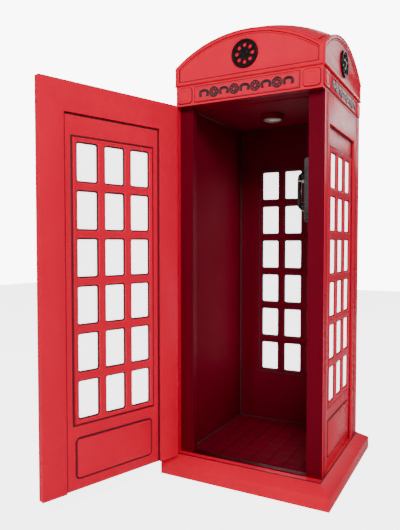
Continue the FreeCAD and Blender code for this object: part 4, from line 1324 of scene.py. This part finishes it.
at_dial = at(*DIAL)
dial_base = combine(plate([ring(SURROUND_RADIUS, 64), ring(0.0055, 20)], ring_back, ring_face, 0.0012),
                    bead(ring(0.0445, 64), 0.004, ring_face - 0.0004, 0.0032))
finish_piece("dial_surround", moved(dial_base, at_dial), black_plastic, "black_plastic", "dial_ring",
             side="phone")
finger_places = [dial_spot(FINGER_RING, FINGER_PITCH * index + FIRST_FINGER) for index in range(10)]
wheel = plate([ring(WHEEL_RADIUS, 72)] + [ring(FINGER_HOLE, 20, place) for place in finger_places],
              wheel_face - WHEEL_THICK, wheel_face, 0.0009, 3)
hub = turned_shape([(0.0, hub_back), (0.005, hub_back), (0.005, wheel_face), (0.017, wheel_face),
                    (0.016, wheel_face + 0.0012), (0.012, wheel_face + 0.002),
                    (0.0, wheel_face + 0.0024)])
finish_piece("finger_wheel", moved(combine(wheel, hub), at_dial), bright_steel, "bright_steel",
             "dial_wheel", side="phone", body="dial")


def characters(text, tall, near, far, edge=0.0):
    """Plain built-in lettering as a solid, centred on the origin."""
    words = bpy.data.curves.new("characters", "FONT")
    words.body = text
    words.size = tall
    words.align_x, words.align_y = "CENTER", "CENTER"
    words.extrude = (far - near) / 2.0 - edge
    words.bevel_depth = edge
    return settle(words, (near + far) / 2.0)


digits = [moved(characters(digit, 0.0095, ring_face - 0.0003, ring_face + 0.0002), at_dial @ at(*place))
          for digit, place in zip("1234567890", finger_places)]
finish_piece("dial_digits", combine(*digits), digit_white, "black_plastic", side="phone")
finger_stop = turned_shape([(0.0, -0.001), (0.0024, -0.001), (0.0024, 0.007), (0.0016, 0.0085),
                            (0.0, 0.009)], 16, base=ring_face)
finish_piece("finger_stop", moved(finger_stop, at_dial @ at(*dial_spot(STOP_RING, STOP_TURN))),
             bright_steel, "bright_steel", side="phone")

# %% Button, flap, hook and gland
BUTTON = (-0.015, 1.925)
_, button_back, button_face = drawn("return_button")
press = turned_shape([(0.0, button_back), (0.009, button_back), (0.009, button_face - 0.002),
                      (0.0075, button_face - 0.0005), (0.006, button_face - 0.0008),
                      (0.0, button_face - 0.0016)])
finish_piece("press_button", moved(press, at(*BUTTON)), bright_steel, "bright_steel",
             "return_button", side="phone", body="return_button")
FLAP, flap_back, flap_face = drawn("return_flap")
flap_ridge = [(FLAP[0] + 0.012, FLAP[1] + 0.010), (FLAP[2] - 0.012, FLAP[1] + 0.010)]
flap = combine(plate([rectangle(*FLAP, 0.002)], flap_back, flap_face, 0.0006),
               bead(flap_ridge, 0.006, flap_face - 0.0003, 0.0008, closed=False))
finish_piece("coin_flap", flap, bright_steel, "bright_steel", "return_flap", side="phone",
             body="return_flap")
HANDSET_ACROSS, PRONG_SPREAD, HOOK_HALF, PRONG_RADIUS = 0.092, 0.022, 0.027, 0.005
HOOK, hook_back, hook_tip = drawn("switch_hook")
hook_up = (HOOK[1] + HOOK[3]) / 2.0
prong = turned_shape([(0.0, hook_back), (PRONG_RADIUS, hook_back), (PRONG_RADIUS, hook_tip - 0.005),
                      (0.0045, hook_tip - 0.0022), (0.0028, hook_tip - 0.0006), (0.0, hook_tip)], 24)
hook = [moved(prong, at(HANDSET_ACROSS + sign * PRONG_SPREAD, hook_up)) for sign in (-1, 1)]
hook.append(plate([rectangle(HANDSET_ACROSS - HOOK_HALF, hook_up - PRONG_RADIUS,
                             HANDSET_ACROSS + HOOK_HALF, hook_up + PRONG_RADIUS, 0.002)],
                  hook_back, hook_back + 0.008, 0.0006))
finish_piece("forked_hook", combine(*hook), bright_steel, "bright_steel", "switch_hook",
             side="phone", body="switch_hook")
gland_low, gland_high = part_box("cord_gland")
gland_profile = [(0.004, gland_low[2] + 0.001), (0.005, gland_low[2]), (0.0075, gland_low[2]),
                 (0.0085, gland_low[2] + 0.002), (0.0085, gland_low[2] + 0.006),
                 (0.010, gland_low[2] + 0.007), (0.010, gland_high[2]), (0.004, gland_high[2])]
gland_middle = [(gland_low[axis] + gland_high[axis]) / 2.0 for axis in (0, 1)]
finish_piece("cord_bush", moved(turned_shape(gland_profile, hollow=True), at(*gland_middle)),
             black_plastic, "black_plastic", "cord_gland")

# %% [markdown]
# The handset is one smooth moulding, so its grip and caps are first set together as overlapping shapes
# and then remeshed into a single skin.  A tapering tube with a slight bow makes the grip.

# %% Handset
CAP_RADIUS, SPEECH_HOLE = 0.027, 0.0014
HANDSET, cap_out, handset_far = drawn("handset")
cap_ups = (HANDSET[1] + CAP_RADIUS, HANDSET[3] - CAP_RADIUS)
grip_out, grip_steps = handset_far - 0.015, 16
grip_points, grip_radii = [], []
for step in range(grip_steps + 1):
    along = step / grip_steps
    bow = math.sin(math.pi * along)
    grip_points.append((HANDSET_ACROSS, cap_ups[0] + (cap_ups[1] - cap_ups[0]) * along,
                        grip_out - 0.004 + 0.0055 * bow))
    grip_radii.append(0.0142 - 0.0018 * bow)
cap_profile = [(0.0, 0.0), (CAP_RADIUS - 0.002, 0.0), (CAP_RADIUS, 0.002), (CAP_RADIUS, 0.012),
               (CAP_RADIUS - 0.002, 0.016), (CAP_RADIUS - 0.005, 0.022), (CAP_RADIUS - 0.012, 0.031),
               (0.010, 0.038), (0.0, 0.041)]
caps = [moved(turned_shape(cap_profile, 48, base=cap_out), at(HANDSET_ACROSS, up)) for up in cap_ups]
rough = bpy.data.objects.new("rough", combine(tube(grip_points, grip_radii, "grip"), *caps))
bpy.context.collection.objects.link(rough)
skin = rough.modifiers.new("skin", "REMESH")
skin.mode = "VOXEL"
skin.voxel_size = 0.0013
relax = rough.modifiers.new("relax", "SMOOTH")
relax.iterations = 6
ready = rough.evaluated_get(bpy.context.evaluated_depsgraph_get())
handset = bpy.data.meshes.new_from_object(ready)
bpy.data.objects.remove(rough)
handset.shade_smooth()
speech_holes = [ring(SPEECH_HOLE, 8, spot) for count, radius in ((6, 0.007), (12, 0.0135))
                for spot in ring(radius, count)]
ear = plate([ring(0.019, 40), ring(SPEECH_HOLE, 8)] + speech_holes, cap_out - 0.0008,
            cap_out + 0.0004, 0.0003)
ears = [moved(ear, at(HANDSET_ACROSS, up)) for up in cap_ups]
finish_piece("handset_moulding", combine(handset, *ears), black_plastic, "black_plastic", "handset",
             side="phone", body="handset")

# %% [markdown]
# ## Hinges and pull handle
# Three butt hinges stand off the corner.  Their leaves are screwed on, and each pin ends in a small
# turned finial.  The pull handle is a bar between two feet, each on a round rose.

# %% Hinges
hinge_axis = door_joint["pos_m"]
HINGE_UPS = (0.330, 1.200, 2.070)
HINGE_HALF = 0.055
LEAF_SCREW_COLUMNS, LEAF_SCREW_RISE = (0.402, 0.440), 0.036
finial = turned_shape([(0.0, 0.0), (0.012, 0.0), (0.012, 0.003), (0.008, 0.005), (0.0095, 0.009),
                       (0.007, 0.013), (0.0, 0.015)], 24)
finials = []
for up in HINGE_UPS:
    for sign, turn in ((1.0, 0.0), (-1.0, math.pi)):
        spot = at(hinge_axis[0], hinge_axis[1], up + sign * HINGE_HALF)
        finials.append(moved(finial, spot @ Matrix.Rotation(turn, 4, "X")))
fixed = sharpen(combine(cast_copy("hinges_fixed", 0.0008, 2), *finials))
finish_piece("hinge_fixed_leaves", fixed, red_enamel, "red_paint", "hinges_fixed")
finish_piece("hinge_moving_leaves", sharpen(cast_copy("hinges_moving", 0.0008, 2)), red_enamel,
             "red_paint", "hinges_moving", body="door")
leaf_marks = [(across, up + rise, BODY_HALF + 0.004) for across in LEAF_SCREW_COLUMNS
              for up in HINGE_UPS for rise in (-LEAF_SCREW_RISE, LEAF_SCREW_RISE)]
door_marks = [(-across, up, out) for across, up, out in leaf_marks]
finish_piece("hinge_screws_fixed", screws(leaf_marks, 0.0055, red_enamel, 17), red_enamel,
             "red_paint", side="left")
finish_piece("hinge_screws_moving", screws(door_marks, 0.0055, red_enamel, 19), red_enamel,
             "red_paint", side="door")

# %% Pull handle
UPRIGHT = Matrix.Rotation(-math.pi / 2.0, 4, "X")
PULL_ACROSS, PULL_LOW, PULL_HIGH, PULL_FOOT_IN = 0.390, 1.040, 1.230, 0.012
PULL_OUT = BODY_HALF + 0.040
bar_half = (PULL_HIGH - PULL_LOW) / 2.0
bar = turned_shape([(0.0, -bar_half), (0.005, -bar_half + 0.001), (0.0078, -bar_half + 0.005),
                    (0.0065, -bar_half + 0.010), (0.0075, -bar_half + 0.030), (0.009, 0.0),
                    (0.0075, bar_half - 0.030), (0.0065, bar_half - 0.010), (0.0078, bar_half - 0.005),
                    (0.005, bar_half - 0.001), (0.0, bar_half)], 32)
foot = turned_shape([(0.0, BODY_HALF - 0.001), (0.018, BODY_HALF - 0.001), (0.018, BODY_HALF + 0.003),
                     (0.014, BODY_HALF + 0.005), (0.008, BODY_HALF + 0.007), (0.0062, BODY_HALF + 0.014),
                     (0.0070, PULL_OUT - 0.006), (0.0, PULL_OUT)], 32)
pull = [moved(bar, at(PULL_ACROSS, (PULL_LOW + PULL_HIGH) / 2.0, PULL_OUT) @ UPRIGHT)]
pull += [moved(foot, at(PULL_ACROSS, up))
         for up in (PULL_LOW + PULL_FOOT_IN, PULL_HIGH - PULL_FOOT_IN)]
finish_piece("pull_handle", combine(*pull), red_enamel, "red_paint", "door_pull", side="door")
